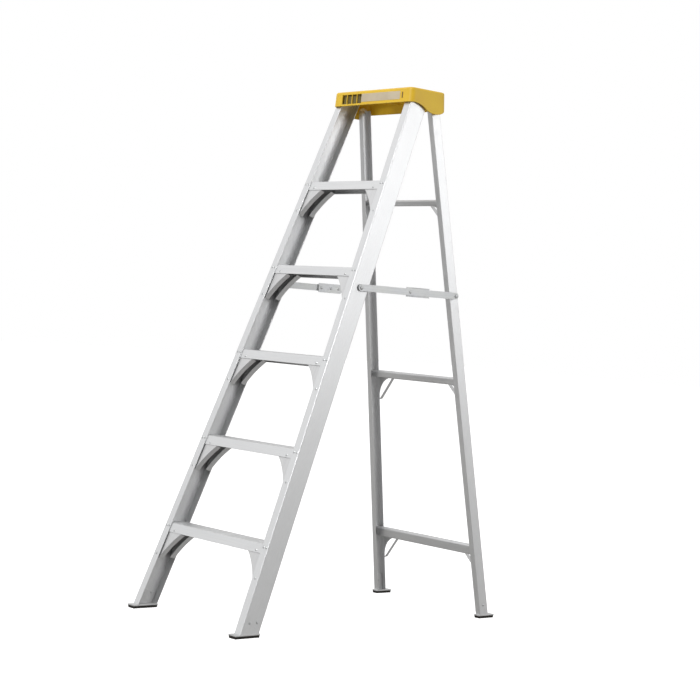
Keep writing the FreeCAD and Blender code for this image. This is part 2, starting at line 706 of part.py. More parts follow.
def makeRearRail(side, way):
    body = newBody("rear_rail_" + side, rearPlace)
    deep = "Dims.rear_depth / 2"
    head = "Dims.rear_depth / 2"
    web = "%d * (%s)" % (way, rearHalf(head))
    skin = "%d * (%s - Dims.rear_wall)" % (way, rearHalf(head))
    tip = "%d * (%s - Dims.rear_flange)" % (way, rearHalf(head))
    inside = "(Dims.rear_depth / 2 - Dims.rear_wall)"
    section = newSketch(body, "section", "XY_Plane", head)
    drawLoop(section, [
        (web, "-" + deep), (web, deep), (tip, deep), (tip, inside),
        (skin, inside), (skin, "-" + inside), (tip, "-" + inside), (tip, "-" + deep)])
    reach = "%s + Dims.hinge_height / cos(Dims.rear_lean) + Dims.long_margin" % head
    feature = padFrom(body, "channel", section, reach, against=True,
                      slope=("%d * -tan(Dims.rear_taper)" % way, "0"))
    if abs(feature.Shape.BoundBox.ZMax - value(head)) > near:
        raise RuntimeError("the rear rail's channel runs the wrong way")

    def isCorner(edge):
        upper = max(edge.Vertexes, key=lambda vertex: vertex.Point.z).Point
        return edge.BoundBox.ZLength > longEdge and abs(abs(upper.x) - value(rearHalf(head))) < near

    roundEdges(body, "corners", "Dims.rail_corner", isCorner)
    ends = newSketch(body, "ends", "YZ_Plane")
    past = "(Dims.rear_depth / 2 + Dims.margin)"
    under = "-2 * Dims.long_margin"
    drawLoop(ends, [
        ("-" + past, rearLevel(footTop, "-" + past)), (past, rearLevel(footTop, past)),
        (past, rearLevel(under, past)), ("-" + past, rearLevel(under, "-" + past))])
    pocketFrom(body, "level_foot", ends)
    crown = newSketch(body, "crown_line", "YZ_Plane")
    above = head + " + Dims.margin"
    drawLoop(crown, [
        ("-" + deep, "0", head, -1), ("0", head, head, -1), (deep, "0"), (past, "0"), (past, above),
        ("-" + past, above), ("-" + past, "0")])
    pocketFrom(body, "crown", crown)
    holes = newSketch(body, "flange_holes", "XZ_Plane", "-(Dims.rear_depth / 2)")
    for name in barNames:
        for across, up in barRivets(name) + [gussetFoot(name)]:
            drawCircle(holes, "%d * %s" % (way, across), up, rivetHole)
    pocketFrom(body, "flange_drilling", holes, "Dims.rear_depth / 2", against=True)
    webHoles = newSketch(body, "web_holes", "YZ_Plane")
    drawCircle(webHoles, "0", "0", "Dims.hinge_pin + Dims.hole_gap")
    drawCircle(webHoles, rearPivotDepth, rearPivotRise, "Dims.spreader_pin + Dims.hole_gap")
    for depth, up in rearFootRivets():
        drawCircle(webHoles, depth, up, rivetHole)
    pocketFrom(body, "web_drilling", webHoles)


# Rear bars: flat tubes against the inside of the rear flanges, rounded at the front.

def makeRearBar(name):
    body = newBody("rear_bar_" + name, rearPlace)
    back = "(Dims.rear_depth / 2 - Dims.rear_wall - Dims.seat_gap)"
    top = barTop(name)
    low = "(%s - Dims.%s_bar_height)" % (top, name)
    section = newSketch(body, "section", "YZ_Plane")
    for wall in ("0", "Dims.bar_wall"):
        behind = "(%s - %s)" % (back, wall)
        front = "(%s - Dims.bar_depth + %s)" % (back, wall)
        above = "(%s - %s)" % (top, wall)
        below = "(%s + %s)" % (low, wall)
        bend = "(Dims.bar_round - %s)" % wall
        drawLoop(section, [
            (behind, above), ("%s + %s" % (front, bend), above, bend, 1), (front, "%s - %s" % (above, bend)),
            (front, "%s + %s" % (below, bend), bend, 1), ("%s + %s" % (front, bend), below), (behind, below)])
    reach = "2 * (%s - Dims.rear_wall - Dims.step_end_gap)" % rearHalf(top)
    padFrom(body, "extrusion", section, reach, symmetric=True)
    holes = newSketch(body, "holes", "XZ_Plane", "-(Dims.rear_depth / 2)")
    for way in sides.values():
        for across, up in barRivets(name) + [gussetHead(name)]:
            drawCircle(holes, "%d * %s" % (way, across), up, rivetHole)
    deep = "Dims.rear_depth / 2 - %s + Dims.bar_wall * 2" % back
    pocketFrom(body, "drilling", holes, deep, against=True)


# Rear gussets: a corner plate behind the rear flange and the bar, hollowed by an arc, and a straight
# strut on edge across the diagonal, all one pressing.

gussetFace = "(Dims.rear_depth / 2)"


def makeGusset(name, side, way):
    body = newBody("rear_gusset_%s_%s" % (name, side), rearPlace)
    low = "(%s - Dims.%s_bar_height)" % (barTop(name), name)
    top = "(%s + Dims.%s_bar_height * Dims.gusset_cover)" % (low, name)
    foot = "(%s - Dims.gusset_drop)" % low

    def across(height, inset):
        return "%d * (%s - %s)" % (way, rearHalf(height), inset)

    plane = "-(%s + Dims.seat_gap)" % gussetFace
    flange = "Dims.rear_flange"
    reach = "(%s + Dims.gusset_reach)" % flange
    outer = "Dims.gusset_inset"
    outline = newSketch(body, "outline", "XZ_Plane", plane)
    drawLoop(outline, [
        (across(top, outer), top), (across(top, reach), top),
        (across(low, reach), low, "Dims.gusset_arc", -way),
        (across(foot, flange), foot), (across(foot, outer), foot)])
    padFrom(body, "plate", outline, "Dims.brace_wall", against=True)
    strut = newSketch(body, "strut_line", "XZ_Plane", plane)
    wall = "Dims.strut_wall"
    drawLoop(strut, [
        (across(low, reach), low), (across(foot, flange), foot),
        (across(foot, "(%s - %s)" % (flange, wall)), foot),
        (across(low, "(%s - %s)" % (reach, wall)), low)])
    padFrom(body, "strut", strut, "Dims.gusset_fold", against=True)
    holes = newSketch(body, "holes", "XZ_Plane", plane)
    for spot, up in barRivets(name) + [gussetFoot(name), gussetHead(name)]:
        drawCircle(holes, "%d * %s" % (way, spot), up, rivetHole)
    pocketFrom(body, "drilling", holes)


def rivetRear():
    # rivets of the bars and gussets, at both ends of each bar
    deepGrip = value("Dims.brace_wall + Dims.rear_wall + Dims.bar_wall + 2 * Dims.seat_gap")
    footGrip = value("Dims.brace_wall + Dims.rear_wall + Dims.seat_gap")
    seat = value(gussetFace + " + Dims.seat_gap + Dims.brace_wall")
    outward = Vector(0, 1, 0)
    for name in barNames:
        for way in sides.values():
            for across, up in barRivets(name) + [gussetHead(name)]:
                spot = Vector(way * value(across), seat, value(up))
                rearFasteners.append(setFastener(makeRivet(deepGrip), rearPlace, spot, outward))
            across, up = gussetFoot(name)
            spot = Vector(way * value(across), seat, value(up))
            rearFasteners.append(setFastener(makeRivet(footGrip), rearPlace, spot, outward))


# Feet: a flared shoe plate under each rail with a tongue riveted to the inside of the web, and a
# slotted rubber sole bonded under it.

def frontPoint(run, height):
    # a place given level and upright from the front frame's origin, in that frame's own two directions
    across = "((%s) * cos(Dims.front_lean) - (%s) * sin(Dims.front_lean))" % (run, height)
    up = "((%s) * sin(Dims.front_lean) + (%s) * cos(Dims.front_lean))" % (run, height)
    return (across, up)


def rearPoint(run, height):
    rise = "((%s) - Dims.hinge_height)" % height
    across = "((%s) * cos(Dims.rear_lean) + %s * sin(Dims.rear_lean))" % (run, rise)
    up = "(%s * cos(Dims.rear_lean) - (%s) * sin(Dims.rear_lean))" % (rise, run)
    return (across, up)


frontFoot = {
    "place": frontPlace,
    "point": frontPoint,
    "level": frontLevel,
    "taper": "Dims.front_taper",
    "halfAt": frontHalf,
    "half": frontHalf(frontLevel(footTop, "Dims.front_depth / 2")),
    "flange": "Dims.front_flange",
    "wall": "Dims.front_wall",
    "near": "Dims.front_wall",
    "far": "(Dims.front_depth - Dims.front_wall)",
    "toe": "-Dims.front_toe",
    "heel": "(%s * tan(Dims.front_lean) + Dims.front_depth / cos(Dims.front_lean) + Dims.tongue_gap)" % footTop,
    "rivets": frontFootRivets(),
}
rearEdge = "(Dims.hinge_height * tan(Dims.rear_lean) + Dims.rear_depth / 2 / cos(Dims.rear_lean))"
rearFoot = {
    "place": rearPlace,
    "point": rearPoint,
    "level": rearLevel,
    "taper": "Dims.rear_taper",
    "halfAt": rearHalf,
    "half": rearHalf(rearLevel(footTop, "0")),
    "flange": "Dims.rear_flange",
    "wall": "Dims.rear_wall",
    "near": "(Dims.rear_wall - Dims.rear_depth / 2)",
    "far": "(Dims.rear_depth / 2 - Dims.rear_wall)",
    "toe": "(%s - Dims.rear_depth / cos(Dims.rear_lean) - Dims.rear_toe)" % rearEdge,
    "heel": "(%s + Dims.rear_heel)" % rearEdge,
    "rivets": rearFootRivets(),
}


def makeShoe(label, way, foot):
    body = newBody(label, foot["place"])
    point = foot["point"]
    level = foot["level"]
    inner = "%d * (%s - %s - Dims.shoe_side)" % (way, foot["half"], foot["flange"])
    plate = newSketch(body, "plate_line", "YZ_Plane", inner)
    corners = [(foot["toe"], "Dims.sole_thickness"), (foot["toe"], footTop),
               (foot["heel"], footTop), (foot["heel"], "Dims.sole_thickness")]
    drawLoop(plate, [point(run, height) for run, height in corners])
    padFrom(body, "plate", plate, "%s + 2 * Dims.shoe_side" % foot["flange"], against=way < 0)
    start = level("Dims.sole_thickness", foot["near"])
    low = level("0", foot["far"])
    base = start if value(start) < value(low) else low
    edge = foot["halfAt"](base)
    skin = "%d * (%s - %s - Dims.seat_gap)" % (way, edge, foot["wall"])
    inside = "%d * (%s - %s - Dims.seat_gap - Dims.tongue_wall)" % (way, edge, foot["wall"])
    front = "%s + Dims.tongue_gap" % foot["near"]
    back = "%s - Dims.tongue_gap" % foot["far"]
    tongue = newSketch(body, "tongue_line", "XY_Plane", base)
    drawLoop(tongue, [(skin, front), (skin, back), (inside, back), (inside, front)])
    reach = "%s - %s" % (level(footTop + " + Dims.shoe_stem", foot["near"]), base)
    padFrom(body, "tongue", tongue, reach, slope=("%d * -tan(%s)" % (way, foot["taper"]), "0"))
    below = newSketch(body, "ground_line", "YZ_Plane")
    run = "(%s - Dims.long_margin)" % foot["toe"]
    beyond = "(%s + Dims.long_margin)" % foot["heel"]
    deep = "-Dims.long_margin"
    drawLoop(below, [point(run, deep), point(run, "Dims.sole_thickness"),
                     point(beyond, "Dims.sole_thickness"), point(beyond, deep)])
    pocketFrom(body, "level", below)
    holes = newSketch(body, "holes", "YZ_Plane")
    for depth, up in foot["rivets"]:
        drawCircle(holes, depth, up, rivetHole)
    pocketFrom(body, "drilling", holes)


def makeSoles(label, foot, place):
    # the left and right soles of one section
    halves = []
    for side, way in sides.items():
        body = doc.addObject("PartDesign::Body", "%s_%s" % (label, side))
        body.Placement = place
        inner = "%d * (%s - %s - Dims.shoe_side + Dims.sole_inset)" % (way, foot["half"], foot["flange"])
        outer = "%d * (%s + Dims.shoe_side - Dims.sole_inset)" % (way, foot["half"])
        front = "%s + Dims.sole_inset" % foot["toe"]
        back = "%s - Dims.sole_inset" % foot["heel"]
        outline = newSketch(body, "outline", "XY_Plane", "Dims.sole_thickness")
        drawLoop(outline, [(inner, front), (outer, front), (outer, back), (inner, back)])
        padFrom(body, "block", outline, "Dims.sole_thickness", against=True, draft="-Dims.sole_draft")
        slots = newSketch(body, "slot_lines", "YZ_Plane")
        long = value("%s - %s" % (foot["heel"], foot["toe"]))
        count = int(long / size("tread_slot") / slotSpacing)
        for number in range(1, count):
            middle = "(%s + (%s - %s) * %d / %d)" % (foot["toe"], foot["heel"], foot["toe"], number, count)
            half = "Dims.tread_slot / 2"
            below = "-Dims.sole_bevel"
            drawLoop(slots, [
                ("%s - %s" % (middle, half), below), ("%s - %s" % (middle, half), "Dims.sole_bevel"),
                ("%s + %s" % (middle, half), "Dims.sole_bevel"), ("%s + %s" % (middle, half), below)])
        pocketFrom(body, "slots", slots)
        halves.append(body)
    pair = doc.addObject("Part::Compound", label)
    pair.Label = label
    pair.Links = halves
    pieces.append(pair)


def rivetWeb(place, half, wall, depth, up, inside, way):
    # a rivet along X through a rail's web and the piece against its inner or outer face
    lift = value("Dims.rivet_head * tan(Dims.front_taper)") + size("hole_gap")
    seat = value(half(up)) + lift
    grip = lift + value("%s + Dims.seat_gap + %s" % (wall, inside)) + lift
    spot = Vector(way * seat, value(depth), value(up))
    return setFastener(makeRivet(grip), place, spot, Vector(way, 0, 0))


# Cap: one moulding with a draft on all four walls, hollow underneath, with a tray on top, tool holes,
# a ribbed window at the front and a lobe on each side that carries the hinge pin.

capRise = "(Dims.overall_height - Dims.hinge_height + Dims.lobe_drop)"
capPlace = Placement(Vector(0, hingeLine, size("hinge_height") - size("lobe_drop")), Rotation())


def capPoint(depth, up):
    # a place on the front rail's web, in the cap's own frame
    run = "((%s) * cos(Dims.front_lean) + (%s) * sin(Dims.front_lean))" % (depth, up)
    rise = "((%s) * cos(Dims.front_lean) - (%s) * sin(Dims.front_lean))" % (up, depth)
    across = "(%s - Dims.hinge_height * tan(Dims.front_lean) - Dims.hinge_setback)" % run
    return (across, "(%s - Dims.hinge_height + Dims.lobe_drop)" % rise)


# Faces of the cap's bosses, as distances in X: beside the rear rails' webs and against the front rails'.
hingeFace = "(%s + Dims.move_gap)" % rearHalf("-Dims.boss_radius")
padFace = "(%s + Dims.seat_gap)" % frontHalf("%s - Dims.pad_radius" % frontCapRivets()[0][1])


def makeCap():
    body = newBody("top_cap", capPlace)
    outline = newSketch(body, "outline", "XY_Plane")
    front = "-Dims.cap_front"
    rear = "Dims.cap_rear"
    half = "Dims.cap_half"
    drawLoop(outline, [("-" + half, front), (half, front), (half, rear), ("-" + half, rear)])
    padFrom(body, "block", outline, capRise, draft="-Dims.cap_draft")
    top = value(capRise)
    roundEdges(body, "upright_corners", "Dims.cap_corner", lambda edge: edge.BoundBox.ZLength > top / 2)
    roundEdges(body, "deck_edge", "Dims.cap_edge", lambda edge: edge.BoundBox.ZMin > top - near)
    wall = "Dims.cap_wall"
    bend = "(Dims.cap_corner - %s)" % wall
    wide = "(%s - %s)" % (half, wall)
    ahead = "(%s + %s)" % (front, wall)
    behind = "(%s - %s)" % (rear, wall)
    cavity = newSketch(body, "cavity_line", "XY_Plane")
    drawLoop(cavity, [
        ("-(%s - %s)" % (wide, bend), ahead), ("%s - %s" % (wide, bend), ahead, bend, 1),
        (wide, "%s + %s" % (ahead, bend)), (wide, "%s - %s" % (behind, bend), bend, 1),
        ("%s - %s" % (wide, bend), behind), ("-(%s - %s)" % (wide, bend), behind, bend, 1),
        ("-" + wide, "%s - %s" % (behind, bend)), ("-" + wide, "%s + %s" % (ahead, bend), bend, 1)])
    pocketFrom(body, "cavity", cavity, "%s - Dims.cap_deck" % capRise, against=True, draft="-Dims.cap_draft")
    makeCapSkirt(body)
    makeCapRibs(body)
    for side, way in sides.items():
        addBosses(body, "hinge_boss_" + side, way, hingeFace, [("0", "Dims.lobe_drop")],
                  "Dims.boss_radius", "Dims.hinge_pin + Dims.hole_gap", "Dims.hinge_bite")
        pads = [capPoint(depth, up) for depth, up in frontCapRivets()]
        addBosses(body, "rail_pads_" + side, way, padFace, pads,
                  "Dims.pad_radius", rivetHole, "Dims.pad_bite")
    makeCapWindow(body)
    makeCapTray(body)


def addBosses(body, name, way, face, places, radius, hole, bite):
    # round bosses from the side wall in to a face, each with a blind hole along X
    line = newSketch(body, name + "_line", "YZ_Plane", "%d * %s" % (way, face))
    for across, up in places:
        drawCircle(line, across, up, radius)
    lean = "%s * tan(Dims.cap_draft)" % places[0][1]
    wallInside = "(Dims.cap_half - Dims.cap_wall / 2 - %s)" % lean
    padFrom(body, name, line, "%s - %s" % (wallInside, face), against=way < 0)
    holes = newSketch(body, name + "_holes", "YZ_Plane", "%d * %s" % (way, face))
    for across, up in places:
        drawCircle(holes, across, up, hole)
    pocketFrom(body, name + "_drilling", holes, bite, against=way > 0)


def makeCapSkirt(body):
    # the lower edge rises from each lobe to the front skirt in a double curve
    cut = newSketch(body, "skirt_line", "YZ_Plane")
    skirt = "(Dims.lobe_drop + Dims.skirt_rise)"
    ahead = "-(Dims.cap_front + Dims.margin)"
    behind = "(Dims.cap_rear + Dims.margin)"
    heel = "(Dims.lobe_drop + Dims.rear_skirt_rise)"
    drawLoop(cut, [
        (ahead, "-Dims.margin"), (ahead, skirt),
        ("-(Dims.cap_front - Dims.skirt_start)", skirt, "Dims.skirt_bend * 2", -1),
        ("-Dims.lobe_slope_run", "Dims.lobe_slope_rise", "Dims.lobe_bend", 1),
        ("-Dims.lobe_ahead", "0", "Dims.heel_bend", 1),
        ("Dims.lobe_heel_run", "Dims.lobe_heel_rise", "Dims.heel_bend / 2", 1),
        ("Dims.cap_rear", heel), (behind, heel), (behind, "-Dims.margin")])
    pocketFrom(body, "skirt", cut)


def makeCapRibs(body):
    # two stiffening ribs under the deck
    for side, way in sides.items():
        middle = "%d * Dims.cap_half * Dims.deck_rib_place" % way
        ribs = newSketch(body, "rib_line_" + side, "YZ_Plane", middle)
        near = "-(Dims.cap_front - Dims.cap_wall)"
        far = "(Dims.cap_rear - Dims.cap_wall)"
        low = "(%s - Dims.cap_deck - Dims.deck_rib_depth)" % capRise
        high = "(%s - Dims.cap_deck / 2)" % capRise
        drawLoop(ribs, [(near, low), (far, low), (far, high), (near, high)])
        padFrom(body, "rib_" + side, ribs, "Dims.deck_rib", symmetric=True)


def makeCapWindow(body):
    # a row of openings between upright bars in the front wall
    window = newSketch(body, "window_line", "XZ_Plane", "Dims.cap_front + Dims.margin / 2")
    panes = int(size("window_ribs")) + 1
    top = "(%s - Dims.window_top)" % capRise
    low = "(%s - Dims.window_height)" % top
    pane = "((Dims.window_width - %d * Dims.window_rib) / %d)" % (panes - 1, panes)
    for number in range(panes):
        start = "(-Dims.window_side - Dims.window_width + %d * (%s + Dims.window_rib))" % (number, pane)
        stop = "(%s + %s)" % (start, pane)
        drawLoop(window, [(start, low), (stop, low), (stop, top), (start, top)])
    pocketFrom(body, "window", window, "Dims.cap_wall * 3 + Dims.margin / 2")


def makeCapTray(body):
    tray = newSketch(body, "tray_line", "XY_Plane", capRise)
    front = "-(Dims.cap_front - Dims.tray_rim - Dims.cap_wall)"
    rear = "(Dims.cap_rear - Dims.tray_rim - Dims.cap_wall)"
    half = "(Dims.cap_half - Dims.tray_rim - Dims.cap_wall)"
    drawLoop(tray, [("-" + half, front), (half, front), (half, rear), ("-" + half, rear)])
    pocketFrom(body, "tray", tray, "Dims.tray_depth")
    tools = newSketch(body, "tool_holes", "XY_Plane", capRise)
    line = "-Dims.cap_front * Dims.tool_line"
    drawCircle(tools, "Dims.cap_half * Dims.large_hole_place", line, "Dims.tool_hole_large")
    drawCircle(tools, "Dims.cap_half * Dims.small_hole_place", line, "Dims.tool_hole_small")
    middle = "Dims.cap_half * Dims.slot_place"
    start = "(%s - Dims.tool_slot_length / 2)" % middle
    stop = "(%s + Dims.tool_slot_length / 2)" % middle
    low = "(%s - Dims.tool_slot_width / 2)" % line
    high = "(%s + Dims.tool_slot_width / 2)" % line
    drawLoop(tools, [(start, low), (stop, low), (stop, high), (start, high)])
    pocketFrom(body, "tool_drilling", tools, "Dims.cap_deck")


# Pins with a round head and a plain end, from inside the rails through their webs into the cap's bosses.

def makeStub(radius, headRadius, headRise, length):
    return turnProfile(headRadius, headRise, [
        Vector(radius, 0, 0), Vector(radius, 0, -length), Vector(0, 0, -length)])


def makeHingeBolts():
    seat = value("%s - Dims.rear_wall - Dims.move_gap" % rearHalf("Dims.hinge_head"))
    length = value("%s + Dims.hinge_bite - Dims.seat_gap" % hingeFace) - seat
    solid = makeStub(size("hinge_pin"), size("hinge_head"), size("hinge_head_rise"), length)
    bolts = []
    for way in sides.values():
        spot = Vector(way * seat, hingeLine, size("hinge_height"))
        bolts.append(setFastener(solid, rowPlace, spot, Vector(-way, 0, 0)))
    addGroup("hinge_bolts", bolts)


def rivetCap(depth, up, way):
    lift = value("Dims.rivet_head * tan(Dims.front_taper)") + size("hole_gap")
    seat = value("%s - Dims.front_wall" % frontHalf(up)) - lift
    length = value("%s + Dims.pad_bite - Dims.seat_gap" % padFace) - seat
    solid = makeStub(size("rivet_radius"), size("rivet_head"), size("rivet_rise"), length)
    return setFastener(solid, frontPlace, Vector(way * seat, value(depth), value(up)), Vector(-way, 0, 0))


# Spreaders: two flat links on each side, outside the rails, that fold upward at the elbow. Each layer
# has its own plane, so the elbow's rivet is in two halves, one on each link.

def makeLink(label, way, place, first, last, inner, holes):
    body = newBody(label, place)
    half = "Dims.spreader_bar / 2"
    bar = newSketch(body, "bar_line", "YZ_Plane", "%d * %s" % (way, inner))
    drawLoop(bar, [
        (first, "-" + half), (last, "-" + half, half, 1), ("%s + %s" % (last, half), "0", half, 1),
        (last, half), (first, half, half, 1), ("%s - %s" % (first, half), "0", half, 1)])
    padFrom(body, "bar", bar, "Dims.spreader_wall", against=way < 0)
    drilling = newSketch(body, "holes", "YZ_Plane")
    for across, radius in holes:
        drawCircle(drilling, across, "0", radius)
    pocketFrom(body, "drilling", drilling)


def makeLockPlate(side, way, place):
    # a shallow channel on the inside of the rear link that hides and braces the elbow
    body = newBody("spreader_lock_plate_" + side, place)
    outer = "(%s - Dims.seat_gap)" % rearLinkIn
    wall = "Dims.lock_wall"
    near = "(-Dims.arm_length - Dims.spreader_bar / 2)"
    far = "(%s + Dims.lock_length)" % near
    lipNear = "(-Dims.arm_length + Dims.spreader_bar * Dims.lock_lip_start)"
    half = "(Dims.lock_height / 2)"
    plate = newSketch(body, "plate_line", "YZ_Plane", "%d * (%s - %s)" % (way, outer, wall))
    drawLoop(plate, [(near, "-" + half), (far, "-" + half), (far, half), (near, half)])
    padFrom(body, "plate", plate, wall, against=way < 0)
    lips = newSketch(body, "lip_lines", "YZ_Plane", "%d * (%s - %s)" % (way, outer, wall))
    inside = "(Dims.lock_height / 2 - %s)" % wall
    drawLoop(lips, [(lipNear, inside), (far, inside), (far, half), (lipNear, half)])
    drawLoop(lips, [(lipNear, "-" + half), (far, "-" + half), (far, "-" + inside), (lipNear, "-" + inside)])
    padFrom(body, "lips", lips, "Dims.spreader_wall + Dims.seat_gap + %s" % wall, against=way < 0)
    drilling = newSketch(body, "holes", "YZ_Plane")
    for across in lockRivets:
        drawCircle(drilling, across, "0", rivetHole)
    drawCircle(drilling, "-Dims.arm_length", "0", elbowHole)
    pocketFrom(body, "drilling", drilling)


elbowHole = "Dims.spreader_pin * Dims.elbow_share + Dims.hole_gap"
lockRivets = ["(-Dims.arm_length + Dims.lock_length * Dims.lock_rivet_%s)" % place for place in ("near", "far")]


def makePivotPin(headFace, end, collars):
    # a pin along Z with a round head, and collars given as (radius, upper face, lower face)
    radius = size("spreader_pin")
    head = size("spreader_head")
    solid = Part.makeCylinder(radius, headFace - end, Vector(0, 0, end))
    dome = makeStub(radius, head, radius * size("spreader_head_rise"), size("spreader_washer"))
    dome.translate(Vector(0, 0, headFace))
    solid = solid.fuse(dome)
    for collar, high, low in collars:
        solid = solid.fuse(Part.makeCylinder(collar, high - low, Vector(0, 0, low)))
    return solid.removeSplitter().Solids[0]


def makeSpreaders():
    angle = math.degrees(math.atan2(rearPivot.z - frontPivot.z, rearPivot.y - frontPivot.y))
    turn = Rotation(Vector(1, 0, 0), angle)
    frontAt = Placement(Vector(0, frontPivot.y, frontPivot.z), turn)
    rearAt = Placement(Vector(0, rearPivot.y, rearPivot.z), turn)
    pinHole = "Dims.spreader_pin + Dims.hole_gap"
    pinHead = size("spreader_head")
    stub = value("Dims.spreader_pin * Dims.elbow_share")
    stubHead = pinHead * size("elbow_share")
    stubRise = stub * size("elbow_rise")
    tailRadius = size("spreader_pin") * size("tail_spread")
    gap = size("move_gap")
    wall = size("spreader_wall")
    frontPins = []
    rearPins = []
    for side, way in sides.items():
        outward = Vector(way, 0, 0)
        makeLink("spreader_front_link_" + side, way, frontAt, "0", "Dims.arm_length", frontLinkIn,
                 [("0", pinHole), ("Dims.arm_length", elbowHole)])
        makeLink("spreader_rear_link_" + side, way, rearAt, "-Dims.arm_length", "0", rearLinkIn,
                 [("0", pinHole), ("-Dims.arm_length", elbowHole)] + [(spot, rivetHole) for spot in lockRivets])
        makeLockPlate(side, way, rearAt)
        spot = Vector(way * value(frontLinkOut), armLength, 0)
        elbowFront = setFastener(makeStub(stub, stubHead, stubRise, wall), frontAt, spot, outward)
        addGroup("spreader_elbow_rivet_" + side, [elbowFront])
        plateIn = "(%s - Dims.seat_gap - Dims.lock_wall)" % rearLinkIn
        spot = Vector(way * value(plateIn), -armLength, 0)
        grip = value("%s - %s" % (rearLinkOut, plateIn))
        rearLinkRivets = [setFastener(makeStub(stub, stubHead, stubRise, grip), rearAt, spot, outward * -1)]
        for across in lockRivets:
            spot = Vector(way * value(plateIn), value(across), 0)
            short = makeStub(size("rivet_radius"), size("rivet_head"), size("rivet_rise"), grip)
            rearLinkRivets.append(setFastener(short, rearAt, spot, outward * -1))
        addGroup("spreader_lock_rivets_" + side, rearLinkRivets)
        lift = value("Dims.spreader_washer_radius * tan(Dims.front_taper)") + size("hole_gap")
        webOut = value(frontHalf(frontPivotRise))
        webIn = webOut - size("front_wall") - lift
        collar = (size("spreader_washer_radius"), value(frontLinkIn) - gap, webOut + lift)
        formed = (tailRadius, webIn, webIn - size("spreader_washer"))
        pin = makePivotPin(value(frontLinkOut) + gap, webIn - size("spreader_washer"), [collar, formed])
        frontPins.append(setFastener(pin, rowPlace, Vector(0, frontPivot.y, frontPivot.z), outward))
        webOut = value(rearHalf(rearPivotRise))
        webIn = webOut - size("rear_wall") - lift
        collar = (size("spreader_washer_radius"), value(plateIn) - gap, webOut + lift)
        formed = (tailRadius, webIn, webIn - size("spreader_washer"))
        pin = makePivotPin(value(rearLinkOut) + gap, webIn - size("spreader_washer"), [collar, formed])
        rearPins.append(setFastener(pin, rowPlace, Vector(0, rearPivot.y, rearPivot.z), outward))
    addGroup("spreader_front_pins", frontPins)
    addGroup("spreader_rear_pins", rearPins)


# Build every piece.

number = len(dimensions) + 2
sheet.set("A%d" % number, "arm_length")
sheet.set("B%d" % number, str(armLength))
sheet.setAlias("B%d" % number, "arm_length")
doc.recompute()

makeCap()
for side, way in sides.items():
    makeFrontRail(side, way)
    makeRearRail(side, way)
    makeShoe("front_foot_" + side, way, frontFoot)
    makeShoe("rear_foot_" + side, way, rearFoot)
for number in stepNumbers:
    makeStep(number)
    rivetTread(number)
    for side, way in sides.items():
        for face in ("front", "rear"):
            makeBrace(number, face, side, way)
for name in barNames:
    makeRearBar(name)
    for side, way in sides.items():
        makeGusset(name, side, way)
rivetRear()
for way in sides.values():
    for depth, up in frontFootRivets():
        frontFasteners.append(rivetWeb(
            frontPlace, frontHalf, "Dims.front_wall", depth, up, "Dims.tongue_wall", way))
    for depth, up in frontCapRivets():
        frontFasteners.append(rivetCap(depth, up, way))
    for depth, up in rearFootRivets():
        rearFasteners.append(rivetWeb(
            rearPlace, rearHalf, "Dims.rear_wall", depth, up, "Dims.tongue_wall", way))
addGroup("front_rivets", frontFasteners)
addGroup("rear_rivets", rearFasteners)
makeSoles("front_soles", frontFoot, Placement(Vector(0, frontFloor, 0), Rotation()))
makeSoles("rear_soles", rearFoot, Placement(Vector(0, hingeLine, 0), Rotation()))
makeHingeBolts()
makeSpreaders()
doc.recompute()

faults = []
for thing in doc.Objects:
    if "Invalid" in thing.State or "Error" in thing.State:
        faults.append("%s of %s is %s" % (thing.Name, thing.Label, thing.State))
for piece in pieces:
    if piece.Shape.isNull() or not piece.Shape.isValid() or not piece.Shape.Solids:
        faults.append("%s has no valid solid" % piece.Label)
if faults:
    raise RuntimeError("; ".join(faults))
for piece in pieces:
    piece.Shape.exportStep("parts/%s.step" % piece.Label)
print("%d pieces" % len(pieces))
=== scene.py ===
import math
import bpy
import numpy as np
from mathutils import Matrix, Vector


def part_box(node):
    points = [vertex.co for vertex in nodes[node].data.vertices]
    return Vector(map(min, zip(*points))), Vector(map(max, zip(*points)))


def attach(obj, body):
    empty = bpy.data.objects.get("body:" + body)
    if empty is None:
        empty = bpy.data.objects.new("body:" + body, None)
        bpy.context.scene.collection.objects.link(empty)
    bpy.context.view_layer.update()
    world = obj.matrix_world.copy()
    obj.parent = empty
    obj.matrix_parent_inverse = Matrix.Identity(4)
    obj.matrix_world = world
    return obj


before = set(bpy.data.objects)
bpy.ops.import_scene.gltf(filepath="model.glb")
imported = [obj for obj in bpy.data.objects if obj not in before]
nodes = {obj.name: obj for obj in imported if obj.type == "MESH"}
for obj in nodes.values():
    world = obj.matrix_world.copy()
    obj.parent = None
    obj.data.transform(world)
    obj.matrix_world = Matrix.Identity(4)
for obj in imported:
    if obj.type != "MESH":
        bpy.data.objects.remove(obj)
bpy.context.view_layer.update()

mm = 0.001  # the frame is in metres, and the pieces' sizes below are in millimetres
print("frame loaded:", len(nodes), "nodes")


# ---- camera: three quarters from the right, a little above the middle of the ladder

camera = {
    "place": (4.3117, -3.6904, 0.955),
    "yaw": 0.854664,      # round to the left from +Y
    "pitch": -0.015224,
    "roll": 0.071697,
    "lens": 89.077,
    "sensor": 36.0,
    "reach": 100.0,       # nothing past this is drawn, in metres
}


